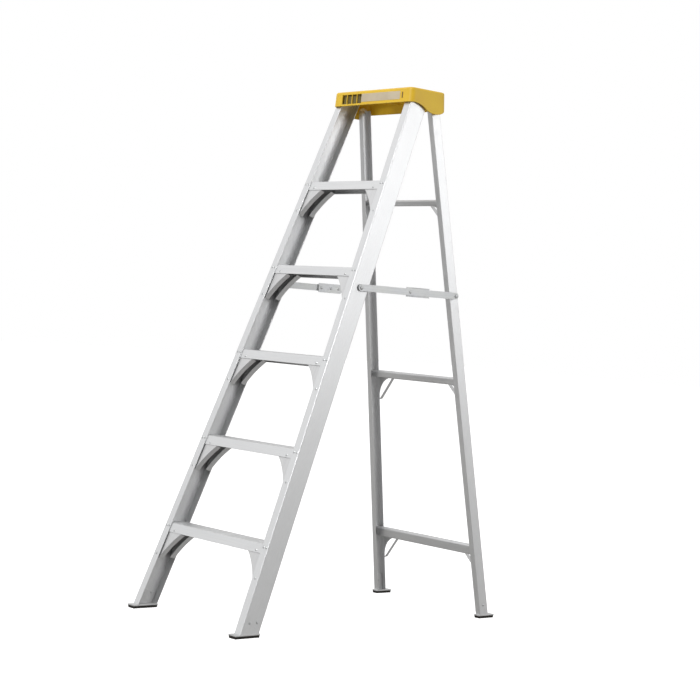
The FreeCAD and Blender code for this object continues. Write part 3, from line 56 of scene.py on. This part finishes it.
def placeCamera(look):
    data = bpy.data.cameras.new("studioCamera")
    data.lens = look["lens"]
    data.sensor_width = look["sensor"]
    data.clip_end = look["reach"]
    ahead = Vector((-math.sin(look["yaw"]) * math.cos(look["pitch"]),
                    math.cos(look["yaw"]) * math.cos(look["pitch"]), math.sin(look["pitch"])))
    right = ahead.cross(Vector((0, 0, 1))).normalized()
    up = right.cross(ahead)
    turn = look["roll"]
    acrossView = right * math.cos(turn) + up * math.sin(turn)
    upView = up * math.cos(turn) - right * math.sin(turn)
    place = Matrix((acrossView, upView, -ahead)).transposed().to_4x4()
    place.translation = Vector(look["place"])
    eye = bpy.data.objects.new("studioCamera", data)
    eye.matrix_world = place
    bpy.context.scene.collection.objects.link(eye)
    bpy.context.scene.camera = eye


placeCamera(camera)
bpy.context.scene.view_settings.view_transform = "Standard"
bpy.context.scene.view_settings.look = "None"
print("camera placed")


# ---- node helpers

def addNode(tree, kind, place=(0, 0), **settings):
    node = tree.nodes.new(kind)
    node.location = place
    for name, setting in settings.items():
        setattr(node, name, setting)
    return node


def fill(node, **numbers):
    # sets input sockets by name, with an underscore for a space
    for name, number in numbers.items():
        node.inputs[name.replace("_", " ")].default_value = number
    return node


def join(tree, start, finish):
    tree.links.new(start, finish)


def newGroup(name, inputs, outputs):
    group = bpy.data.node_groups.new(name, "ShaderNodeTree")
    for socket, kind, start in inputs:
        made = group.interface.new_socket(name=socket, in_out="INPUT", socket_type=kind)
        if start is not None:
            made.default_value = start
    for socket, kind in outputs:
        group.interface.new_socket(name=socket, in_out="OUTPUT", socket_type=kind)
    return group, group.nodes.new("NodeGroupInput"), group.nodes.new("NodeGroupOutput")


def useMath(tree, operation, first, second=None, clamp=False):
    node = addNode(tree, "ShaderNodeMath", operation=operation, use_clamp=clamp)
    for number, item in enumerate((first, second)):
        if item is None:
            continue
        if isinstance(item, (int, float)):
            node.inputs[number].default_value = item
        else:
            join(tree, item, node.inputs[number])
    return node.outputs[0]


def useRamp(tree, item, low, high, toLow=0.0, toHigh=1.0):
    node = addNode(tree, "ShaderNodeMapRange", interpolation_type="SMOOTHSTEP")
    fill(node, From_Min=low, From_Max=high, To_Min=toLow, To_Max=toHigh)
    join(tree, item, node.inputs["Value"])
    return node.outputs["Result"]


def mixColour(tree, share, first, second, blend="MIX"):
    node = addNode(tree, "ShaderNodeMix", data_type="RGBA", blend_type=blend)
    for socket, item in ((node.inputs[0], share), (node.inputs[6], first), (node.inputs[7], second)):
        if isinstance(item, (int, float, tuple)):
            socket.default_value = item
        else:
            join(tree, item, socket)
    return node.outputs[2]


def useNoise(tree, vector, scale, detail=4.0, rough=0.55):
    node = addNode(tree, "ShaderNodeTexNoise")
    fill(node, Scale=scale, Detail=detail, Roughness=rough)
    join(tree, vector, node.inputs["Vector"])
    return node.outputs["Fac"]


def stretch(tree, vector, sizes):
    node = addNode(tree, "ShaderNodeVectorMath", operation="MULTIPLY")
    node.inputs[1].default_value = sizes
    join(tree, vector, node.inputs[0])
    return node.outputs[0]


# ---- effects that several finishes share

edgeLook = {
    "samples": 6,
    "flat": 0.99,           # cosine between the two normals where the rubbing starts
    "rubbed": 0.82,         # and where it is full
    "detail": 5.0,
    "rough": 0.65,
    "patch": (0.36, 0.62),  # noise below the first leaves no wear, above the second full wear
}


def makeEdgeGroup(look):
    # where a rounded-over normal leaves the true one, broken up by noise: rubbed corners
    group, inside, outside = newGroup(
        "rubbedEdges",
        [("Vector", "NodeSocketVector", None), ("Width", "NodeSocketFloat", 0.0015),
         ("Break up", "NodeSocketFloat", 60.0)],
        [("Mask", "NodeSocketFloat"), ("Normal", "NodeSocketVector")])
    soft = addNode(group, "ShaderNodeBevel", samples=look["samples"])
    join(group, inside.outputs["Width"], soft.inputs["Radius"])
    true = addNode(group, "ShaderNodeNewGeometry")
    dot = addNode(group, "ShaderNodeVectorMath", operation="DOT_PRODUCT")
    join(group, soft.outputs[0], dot.inputs[0])
    join(group, true.outputs["Normal"], dot.inputs[1])
    edge = useRamp(group, dot.outputs["Value"], look["flat"], look["rubbed"])
    noise = addNode(group, "ShaderNodeTexNoise")
    fill(noise, Detail=look["detail"], Roughness=look["rough"])
    join(group, inside.outputs["Vector"], noise.inputs["Vector"])
    join(group, inside.outputs["Break up"], noise.inputs["Scale"])
    broken = useRamp(group, noise.outputs["Fac"], *look["patch"])
    join(group, useMath(group, "MULTIPLY", edge, broken), outside.inputs["Mask"])
    join(group, soft.outputs[0], outside.inputs["Normal"])
    return group


drawnLook = {
    "lineStretch": (1.0, 1.0, 0.006),
    "lineDetail": 3.0,
    "lineRough": 0.7,
    "driftStretch": (1.0, 1.0, 0.25),
    "driftDetail": 3.0,
    "driftRough": 0.5,
    "warpScale": 9.0,
    "warpDetail": 1.0,
    "warp": (0.05, 0.05, 0.05),
    "scratchCells": 34.0,
    "scratchWidth": 0.012,
    "scratchPatches": 14.0,
    "patch": (0.56, 0.7),
}


def makeDrawnGroup(look):
    # fine lines drawn out along Z, with a slow drift of tone, as an extrusion or a rolled strip has;
    # scratches are the edges of warped cells, kept in patches
    group, inside, outside = newGroup(
        "drawnLines",
        [("Vector", "NodeSocketVector", None), ("Fineness", "NodeSocketFloat", 900.0),
         ("Drift size", "NodeSocketFloat", 5.0)],
        [("Lines", "NodeSocketFloat"), ("Drift", "NodeSocketFloat"), ("Scratches", "NodeSocketFloat")])
    thin = stretch(group, inside.outputs["Vector"], look["lineStretch"])
    lines = addNode(group, "ShaderNodeTexNoise")
    fill(lines, Detail=look["lineDetail"], Roughness=look["lineRough"])
    join(group, thin, lines.inputs["Vector"])
    join(group, inside.outputs["Fineness"], lines.inputs["Scale"])
    wide = stretch(group, inside.outputs["Vector"], look["driftStretch"])
    drift = addNode(group, "ShaderNodeTexNoise")
    fill(drift, Detail=look["driftDetail"], Roughness=look["driftRough"])
    join(group, wide, drift.inputs["Vector"])
    join(group, inside.outputs["Drift size"], drift.inputs["Scale"])
    warp = addNode(group, "ShaderNodeTexNoise")
    fill(warp, Scale=look["warpScale"], Detail=look["warpDetail"])
    join(group, inside.outputs["Vector"], warp.inputs["Vector"])
    bent = addNode(group, "ShaderNodeVectorMath", operation="MULTIPLY_ADD")
    join(group, warp.outputs["Color"], bent.inputs[0])
    bent.inputs[1].default_value = look["warp"]
    join(group, inside.outputs["Vector"], bent.inputs[2])
    cells = addNode(group, "ShaderNodeTexVoronoi", feature="DISTANCE_TO_EDGE")
    fill(cells, Scale=look["scratchCells"])
    join(group, bent.outputs[0], cells.inputs["Vector"])
    hair = useRamp(group, cells.outputs["Distance"], look["scratchWidth"], 0.0)
    clouds = useNoise(group, inside.outputs["Vector"], look["scratchPatches"])
    patch = useRamp(group, clouds, *look["patch"])
    join(group, lines.outputs["Fac"], outside.inputs["Lines"])
    join(group, drift.outputs["Fac"], outside.inputs["Drift"])
    join(group, useMath(group, "MULTIPLY", hair, patch), outside.inputs["Scratches"])
    return group


dustLook = {
    "facingUp": (0.35, 0.95),  # height of the normal where dust starts, and where it is full
    "detail": 6.0,
    "rough": 0.6,
    "patch": (0.38, 0.66),
}


def makeDustGroup(look):
    # dust lies where a surface faces up, thicker in patches
    group, inside, outside = newGroup(
        "lyingDust",
        [("Vector", "NodeSocketVector", None), ("Patch size", "NodeSocketFloat", 18.0)],
        [("Mask", "NodeSocketFloat")])
    facing = addNode(group, "ShaderNodeNewGeometry")
    axes = addNode(group, "ShaderNodeSeparateXYZ")
    join(group, facing.outputs["Normal"], axes.inputs[0])
    up = useRamp(group, axes.outputs["Z"], *look["facingUp"])
    noise = addNode(group, "ShaderNodeTexNoise")
    fill(noise, Detail=look["detail"], Roughness=look["rough"])
    join(group, inside.outputs["Vector"], noise.inputs["Vector"])
    join(group, inside.outputs["Patch size"], noise.inputs["Scale"])
    patches = useRamp(group, noise.outputs["Fac"], *look["patch"])
    join(group, useMath(group, "MULTIPLY", up, patches), outside.inputs["Mask"])
    return group


rubbedEdges = makeEdgeGroup(edgeLook)
drawnLines = makeDrawnGroup(drawnLook)
lyingDust = makeDustGroup(dustLook)
print("shared effects built")


def startFinish(name, turn):
    # a new material with a vector whose Z runs along the grain
    material = bpy.data.materials.new(name)
    material.use_nodes = True
    tree = material.node_tree
    shader = tree.nodes["Principled BSDF"]
    spots = addNode(tree, "ShaderNodeTexCoord", (-1400, 0))
    grain = addNode(tree, "ShaderNodeMapping", (-1200, 0))
    grain.inputs["Rotation"].default_value = [math.radians(part) for part in turn]
    join(tree, spots.outputs["Object"], grain.inputs["Vector"])
    return material, tree, shader, spots.outputs["Object"], grain.outputs["Vector"]


def placeGroup(tree, group, vector, **numbers):
    node = addNode(tree, "ShaderNodeGroup", node_tree=group)
    join(tree, vector, node.inputs["Vector"])
    for name, number in numbers.items():
        node.inputs[name.replace("_", " ")].default_value = number
    return node


# ---- bare metal

def makeMetal(name, look):
    material, tree, shader, spots, grain = startFinish(name, look["turn"])
    drawn = placeGroup(tree, drawnLines, grain,
                       Fineness=look["fineness"], Drift_size=look["driftSize"])
    edges = placeGroup(tree, rubbedEdges, spots, Width=look["edgeWidth"])
    dust = placeGroup(tree, lyingDust, spots)
    lines = useRamp(tree, drawn.outputs["Lines"], *look["contrast"])
    drift = useRamp(tree, drawn.outputs["Drift"], *look["contrast"])
    colour = mixColour(tree, lines, look["deep"], look["tone"])
    cloudy = useMath(tree, "MULTIPLY", drift, look["cloud"])
    colour = mixColour(tree, cloudy, colour, look["cloudTone"])
    worn = useMath(tree, "MULTIPLY", edges.outputs["Mask"], look["wear"])
    colour = mixColour(tree, worn, colour, look["bright"])
    dusty = useMath(tree, "MULTIPLY", dust.outputs["Mask"], look["dust"])
    colour = mixColour(tree, dusty, colour, look["dustTone"])
    join(tree, colour, shader.inputs["Base Color"])
    rough = useMath(tree, "MULTIPLY_ADD", lines, look["roughSpan"])
    rough.node.inputs[2].default_value = look["rough"]
    rough = useMath(tree, "SUBTRACT", rough, useMath(tree, "MULTIPLY", worn, look["wornPolish"]))
    rough = useMath(tree, "ADD", rough, useMath(tree, "MULTIPLY", dusty, look["dustRough"]), clamp=True)
    join(tree, rough, shader.inputs["Roughness"])
    covered = useMath(tree, "MULTIPLY", dusty, look["dustCover"])
    metal = useMath(tree, "SUBTRACT", look["metal"], covered, clamp=True)
    join(tree, metal, shader.inputs["Metallic"])
    cut = useMath(tree, "MULTIPLY", drawn.outputs["Scratches"], look["scratchDepth"])
    height = useMath(tree, "SUBTRACT", lines, cut)
    bump = addNode(tree, "ShaderNodeBump")
    fill(bump, Strength=look["bump"], Distance=look["bumpHeight"])
    join(tree, height, bump.inputs["Height"])
    join(tree, edges.outputs["Normal"], bump.inputs["Normal"])
    join(tree, bump.outputs["Normal"], shader.inputs["Normal"])
    return material


alongX = (0, 90, 0)  # turns that lay a finish's grain along an axis or a rail, in degrees
alongY = (90, 0, 0)
alongZ = (0, 0, 0)
alongFront = (20.3, 0, 0)
alongRear = (-10.54, 0, 0)

millAluminium = {
    "turn": alongZ,
    "tone": (0.80, 0.805, 0.81, 1),
    "deep": (0.70, 0.705, 0.715, 1),
    "cloudTone": (0.74, 0.745, 0.75, 1),
    "bright": (0.93, 0.93, 0.93, 1),
    "dustTone": (0.56, 0.55, 0.53, 1),
    "fineness": 900.0,
    "driftSize": 5.0,
    "cloud": 0.5,
    "contrast": (0.3, 0.7),
    "rough": 0.36,
    "roughSpan": 0.12,
    "wornPolish": 0.12,
    "dustRough": 0.35,
    "metal": 1.0,
    "dustCover": 0.6,
    "wear": 0.7,
    "edgeWidth": 0.0012,
    "dust": 0.25,
    "bump": 0.18,
    "bumpHeight": 0.0002,
    "scratchDepth": 2.0,
}
rollAluminium = dict(
    millAluminium, tone=(0.74, 0.74, 0.74, 1), deep=(0.62, 0.62, 0.63, 1), fineness=600.0,
    driftSize=16.0, rough=0.42, edgeWidth=0.0008)
castAluminium = dict(
    millAluminium, tone=(0.72, 0.72, 0.72, 1), deep=(0.64, 0.64, 0.645, 1), fineness=300.0,
    rough=0.46, dust=0.5, bump=0.3)
zincSteel = dict(
    millAluminium, tone=(0.66, 0.67, 0.68, 1), deep=(0.53, 0.54, 0.56, 1), fineness=420.0,
    driftSize=40.0, cloudTone=(0.62, 0.63, 0.60, 1), rough=0.34, edgeWidth=0.0006)
rivetSteel = dict(zincSteel, driftSize=160.0, fineness=700.0, edgeWidth=0.0004, rough=0.3)

finishes = {
    "frontRailAluminium": makeMetal("frontRailAluminium", dict(millAluminium, turn=alongFront)),
    "rearRailAluminium": makeMetal("rearRailAluminium", dict(millAluminium, turn=alongRear)),
    "treadAluminium": makeMetal("treadAluminium", dict(millAluminium, turn=alongX, dust=0.45, wear=0.85)),
    "barAluminium": makeMetal("barAluminium", dict(rollAluminium, turn=alongX)),
    "braceAluminium": makeMetal("braceAluminium", dict(rollAluminium, turn=alongFront)),
    "gussetAluminium": makeMetal("gussetAluminium", dict(rollAluminium, turn=alongRear)),
    "footAluminium": makeMetal("footAluminium", castAluminium),
    "zincSteel": makeMetal("zincSteel", dict(zincSteel, turn=alongY)),
    "rivetSteel": makeMetal("rivetSteel", rivetSteel),
}
print("metals mixed:", len(finishes))


# ---- moulded plastic

def makePlastic(name, look):
    material, tree, shader, spots, grain = startFinish(name, alongZ)
    edges = placeGroup(tree, rubbedEdges, spots, Width=look["edgeWidth"], Break_up=look["breakUp"])
    dust = placeGroup(tree, lyingDust, spots, Patch_size=look["dustPatch"])
    slow = useRamp(tree, useNoise(tree, spots, look["driftSize"], 3.0), *look["contrast"])
    colour = mixColour(tree, slow, look["deep"], look["tone"])
    speck = useRamp(tree, useNoise(tree, spots, look["speckSize"], 2.0), *look["speckPatch"])
    colour = mixColour(tree, useMath(tree, "MULTIPLY", speck, look["speck"]), colour, look["speckTone"])
    worn = useMath(tree, "MULTIPLY", edges.outputs["Mask"], look["wear"])
    colour = mixColour(tree, worn, colour, look["bright"])
    dusty = useMath(tree, "MULTIPLY", dust.outputs["Mask"], look["dust"])
    colour = mixColour(tree, dusty, colour, look["dustTone"])
    join(tree, colour, shader.inputs["Base Color"])
    rough = useMath(tree, "MULTIPLY_ADD", slow, look["roughSpan"])
    rough.node.inputs[2].default_value = look["rough"]
    rough = useMath(tree, "ADD", rough, useMath(tree, "MULTIPLY", dusty, look["dustRough"]), clamp=True)
    join(tree, rough, shader.inputs["Roughness"])
    grains = addNode(tree, "ShaderNodeTexVoronoi", feature="SMOOTH_F1")
    fill(grains, Scale=look["grain"], Smoothness=look["grainSoft"])
    join(tree, spots, grains.inputs["Vector"])
    bump = addNode(tree, "ShaderNodeBump")
    fill(bump, Strength=look["bump"], Distance=look["bumpHeight"])
    join(tree, grains.outputs["Distance"], bump.inputs["Height"])
    join(tree, edges.outputs["Normal"], bump.inputs["Normal"])
    join(tree, bump.outputs["Normal"], shader.inputs["Normal"])
    shader.inputs["Specular IOR Level"].default_value = look["specular"]
    return material


mouldedPlastic = {
    "contrast": (0.32, 0.68),
    "roughSpan": 0.08,
    "dustRough": 0.3,
    "dustPatch": 26.0,
    "breakUp": 45.0,
    "speckSize": 420.0,
    "speckPatch": (0.62, 0.74),
    "grainSoft": 0.7,
    "bumpHeight": 0.0003,
}
capPlastic = {
    **mouldedPlastic,
    "tone": (0.86, 0.57, 0.035, 1),
    "deep": (0.79, 0.50, 0.024, 1),
    "bright": (0.90, 0.70, 0.16, 1),
    "speckTone": (0.50, 0.28, 0.01, 1),
    "dustTone": (0.66, 0.56, 0.34, 1),
    "driftSize": 9.0,
    "speck": 0.25,
    "wear": 0.5,
    "edgeWidth": 0.0016,
    "dust": 0.3,
    "rough": 0.42,
    "grain": 1300.0,
    "bump": 0.22,
    "specular": 0.5,
}
soleRubber = {
    **mouldedPlastic,
    "tone": (0.035, 0.030, 0.027, 1),
    "deep": (0.020, 0.017, 0.015, 1),
    "bright": (0.10, 0.09, 0.08, 1),
    "speckTone": (0.07, 0.06, 0.055, 1),
    "dustTone": (0.22, 0.20, 0.18, 1),
    "driftSize": 24.0,
    "speck": 0.5,
    "wear": 0.6,
    "edgeWidth": 0.001,
    "dust": 0.5,
    "rough": 0.68,
    "grain": 700.0,
    "bump": 0.5,
    "specular": 0.3,
}
finishes["capPlastic"] = makePlastic("capPlastic", capPlastic)
finishes["soleRubber"] = makePlastic("soleRubber", soleRubber)
print("plastics mixed")


# ---- a finish for every CAD node

finishOfName = [  # the first words that a node's name starts with decide
    ("top_cap", "capPlastic"),
    ("front_rail", "frontRailAluminium"),
    ("rear_rail", "rearRailAluminium"),
    ("rear_bar", "barAluminium"),
    ("rear_gusset", "gussetAluminium"),
    ("front_foot", "footAluminium"),
    ("rear_foot", "footAluminium"),
    ("front_soles", "soleRubber"),
    ("rear_soles", "soleRubber"),
    ("front_rivets", "rivetSteel"),
    ("rear_rivets", "rivetSteel"),
    ("hinge_bolts", "rivetSteel"),
    ("spreader_front_link", "zincSteel"),
    ("spreader_rear_link", "zincSteel"),
    ("spreader_lock_plate", "zincSteel"),
    ("spreader", "rivetSteel"),
    ("step", "treadAluminium"),
]


def chooseFinish(name):
    if "brace" in name:
        return finishes["braceAluminium"]
    for start, finish in finishOfName:
        if name.startswith(start):
            return finishes[finish]
    raise RuntimeError("no finish for " + name)


for name, piece in nodes.items():
    piece.data.materials.clear()
    piece.data.materials.append(chooseFinish(name))
print("finishes given to", len(nodes), "nodes")


# ---- blank label, its end stop and the ribbed back of the cap's window, whose dark brown is painted shade

capLow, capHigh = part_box("top_cap")
capDraft = math.tan(math.radians(2.5))
skirtLine = 1.682  # lower edge of the cap's front wall, in metres


def onCapFront(points):
    # the cap's front wall leans back: a point moves to the rear by the draft times its height
    points = points.copy()
    points[..., 1] += capLow.y + (points[..., 2] - skirtLine) * capDraft
    return points


def makePiece(name, points, faces, finish, body, smooth=True):
    mesh = bpy.data.meshes.new(name)
    mesh.from_pydata(points.reshape(-1, 3).tolist(), [], faces)
    mesh.validate()
    mesh.polygons.foreach_set("use_smooth", [smooth] * len(mesh.polygons))
    mesh.materials.append(finish)
    piece = bpy.data.objects.new(name, mesh)
    bpy.context.scene.collection.objects.link(piece)
    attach(piece, body)
    return piece


def gridFaces(rows, columns, closed=False):
    # quads between neighbouring rows of a grid; closed joins the last column to the first
    wide = columns if closed else columns - 1
    row, column = np.meshgrid(np.arange(rows - 1), np.arange(wide), indexing="ij")
    after = (column + 1) % columns
    quads = np.stack([row * columns + column, row * columns + after,
                      (row + 1) * columns + after, (row + 1) * columns + column], -1)
    return quads.reshape(-1, 4).tolist()


def makePlate(look):
    # a rounded rectangle is a small circle with its quarters moved apart; each ring of the plate is
    # that outline drawn in by its inset and brought forward by its rise
    count = 4 * look["cornerPoints"]
    turn = np.linspace(0, 2 * np.pi, count, endpoint=False) + np.pi / count
    inset, rise = np.array(look["rings"]).T[:, :, None] * mm
    wide, tall = np.array(look["size"]) * mm / 2
    corner = np.maximum(look["corner"] * mm - inset, look["sharpest"] * mm)
    across = np.sign(np.cos(turn)) * (wide - inset - corner) + corner * np.cos(turn)
    up = np.sign(np.sin(turn)) * (tall - inset - corner) + corner * np.sin(turn)
    midAcross, midUp = np.array(look["middle"]) * mm
    points = np.stack([across + midAcross, -rise + 0 * across, up + midUp], -1)
    rings = len(points)
    faces = gridFaces(rings, count, closed=True)
    last = (rings - 1) * count
    faces.append(list(range(last, last + count)))
    faces.append(list(range(count))[::-1])
    return makePiece(look["name"], onCapFront(points), faces, look["finish"],
                     "front_section", smooth=False)


def makeRibbedBack(look):
    # a sheet across the window: depth = a row of half-round ribs along X, the same at every height; its
    # dark finish is painted shade of the recess behind the window
    u, v = np.meshgrid(np.linspace(0, 1, look["columns"]), np.linspace(0, 1, look["rows"]))
    across = look["left"] + u * (look["right"] - look["left"])
    up = look["low"] + v * (look["high"] - look["low"])
    ribs = np.abs(np.sin(np.pi * u * look["ribs"])) ** look["ribFullness"]
    depth = look["behind"] - look["ribDepth"] * ribs
    points = np.stack([across, depth, up], -1) * mm
    piece = makePiece("cap_window_back", onCapFront(points), gridFaces(look["rows"], look["columns"]),
                      look["finish"], "front_section")
    wall = piece.modifiers.new("wall", "SOLIDIFY")
    wall.thickness = look["wall"] * mm
    wall.offset = 1.0
    return piece


vinyl = {
    **mouldedPlastic,
    "tone": (0.62, 0.53, 0.38, 1),
    "deep": (0.55, 0.46, 0.32, 1),
    "bright": (0.74, 0.68, 0.56, 1),
    "speckTone": (0.50, 0.42, 0.30, 1),
    "dustTone": (0.60, 0.55, 0.45, 1),
    "driftSize": 14.0,
    "speck": 0.35,
    "wear": 0.8,
    "edgeWidth": 0.0006,
    "dust": 0.2,
    "rough": 0.34,
    "grain": 2600.0,
    "bump": 0.08,
    "specular": 0.5,
}
finishes["labelVinyl"] = makePlastic("labelVinyl", vinyl)
finishes["stopPlastic"] = makePlastic("stopPlastic", dict(
    capPlastic, tone=(0.26, 0.16, 0.035, 1), deep=(0.20, 0.12, 0.025, 1),
    bright=(0.45, 0.30, 0.07, 1)))
# the cap plastic darkened to a deep brown: painted shade for the recess behind the cap's window
finishes["windowPlasticPaintedShade"] = makePlastic("windowPlasticPaintedShade", dict(
    capPlastic, tone=(0.16, 0.12, 0.02, 1), deep=(0.09, 0.065, 0.012, 1),
    bright=(0.36, 0.30, 0.06, 1), wear=0.9, driftSize=30.0))

labelPlate = {
    "name": "cap_blank_label",
    "size": (190.0, 27.0),
    "middle": (45.0, 1705.0),
    "corner": 3.0,
    "sharpest": 0.05,
    "cornerPoints": 6,
    "rings": [(0.0, -0.2), (0.0, 0.35), (0.15, 0.6), (0.5, 0.7)],  # inset and rise
    "finish": finishes["labelVinyl"],
}
stopPlate = {
    "name": "cap_label_stop",
    "size": (5.0, 20.0),
    "middle": (151.0, 1705.0),
    "corner": 1.6,
    "sharpest": 0.05,
    "cornerPoints": 4,
    "rings": [(0.0, -0.2), (0.0, 0.6), (0.5, 1.2), (1.2, 1.2)],
    "finish": finishes["stopPlastic"],
}
ribbedBack = {
    "left": -152.0, "right": -46.0,
    "low": 1684.0, "high": 1719.0,
    "behind": 13.0,
    "ribDepth": 6.0,
    "ribFullness": 0.6,
    "ribs": 5,
    "columns": 81, "rows": 9,
    "wall": 1.2,
    # the darkened cap plastic: painted shade
    "finish": finishes["windowPlasticPaintedShade"],
}
makePlate(labelPlate)
makePlate(stopPlate)
makeRibbedBack(ribbedBack)
print("cap's label and window made")


# ---- studio: a white floor and sky for the camera; reflections see a dim room with three bright walls,
# behind on the right, ahead on the left and behind on the left

studio = {
    "floorHalf": 30.0,
    "floorTone": (0.9, 0.9, 0.9, 1),
    "floorBounce": (0.42, 0.415, 0.405, 1),
    "floorGlow": 0.55,
    "skyShown": (1, 1, 1, 1),
    "dim": 0.13,
    "above": 0.55,
    "overhead": (0.35, 0.95),
    "walls": [
        # towards, how wide it spreads, brightness
        ((0.78, 0.62, -0.06), 0.60, 0.66),
        ((-0.72, -0.55, 0.30), 0.60, 0.78),
        ((-0.60, 0.75, 0.25), 0.60, 0.60),
    ],
}
boxAim = Vector((0, 0, 0.9))
softBoxes = [
    # name, place, size, watts
    ("keyBox", (1.6, -4.6, 4.4), 2.0, 170.0),
    ("rearBox", (4.2, 3.2, 2.4), 2.4, 26.0),
]


def layFloor(look):
    half = look["floorHalf"]
    floor = bpy.data.meshes.new("studioFloor")
    corners = [(-half, -half, 0), (half, -half, 0), (half, half, 0), (-half, half, 0)]
    floor.from_pydata(corners, [], [(0, 1, 2, 3)])
    material = bpy.data.materials.new("studioFloor")
    material.use_nodes = True
    tree = material.node_tree
    shader = tree.nodes["Principled BSDF"]
    shader.inputs["Roughness"].default_value = 1.0
    shader.inputs["Specular IOR Level"].default_value = 0.0
    ray = addNode(tree, "ShaderNodeLightPath")
    seen = ray.outputs["Is Camera Ray"]
    join(tree, mixColour(tree, seen, look["floorBounce"], look["floorTone"]), shader.inputs["Base Color"])
    shader.inputs["Emission Color"].default_value = (1, 1, 1, 1)
    join(tree, useMath(tree, "MULTIPLY", seen, look["floorGlow"]), shader.inputs["Emission Strength"])
    floor.materials.append(material)
    piece = bpy.data.objects.new("studioFloor", floor)
    bpy.context.scene.collection.objects.link(piece)


def lightSky(look):
    world = bpy.data.worlds.new("studioSky")
    bpy.context.scene.world = world
    world.use_nodes = True
    tree = world.node_tree
    sky = tree.nodes["Background"]
    spots = addNode(tree, "ShaderNodeTexCoord")
    axes = addNode(tree, "ShaderNodeSeparateXYZ")
    join(tree, spots.outputs["Generated"], axes.inputs[0])
    overhead = useRamp(tree, axes.outputs["Z"], *look["overhead"], 0.0, look["above"])
    light = useMath(tree, "ADD", overhead, look["dim"])
    for towards, spread, brightness in look["walls"]:
        facing = addNode(tree, "ShaderNodeVectorMath", operation="DOT_PRODUCT")
        facing.inputs[1].default_value = Vector(towards).normalized()
        join(tree, spots.outputs["Generated"], facing.inputs[0])
        wall = useRamp(tree, facing.outputs["Value"], 1 - spread, 1.0, 0.0, brightness)
        light = useMath(tree, "ADD", light, wall)
    grey = addNode(tree, "ShaderNodeCombineColor")
    for channel in grey.inputs:
        join(tree, light, channel)
    ray = addNode(tree, "ShaderNodeLightPath")
    shown = mixColour(tree, ray.outputs["Is Camera Ray"], grey.outputs[0], look["skyShown"])
    join(tree, shown, sky.inputs["Color"])


def hangBox(name, place, size, watts):
    data = bpy.data.lights.new(name, "AREA")
    data.shape = "DISK"
    data.size = size
    data.energy = watts
    light = bpy.data.objects.new(name, data)
    light.location = place
    aim = boxAim - Vector(place)
    light.rotation_euler = aim.to_track_quat("-Z", "Y").to_euler()
    bpy.context.scene.collection.objects.link(light)


layFloor(studio)
lightSky(studio)
for box in softBoxes:
    hangBox(*box)
print("studio lit")
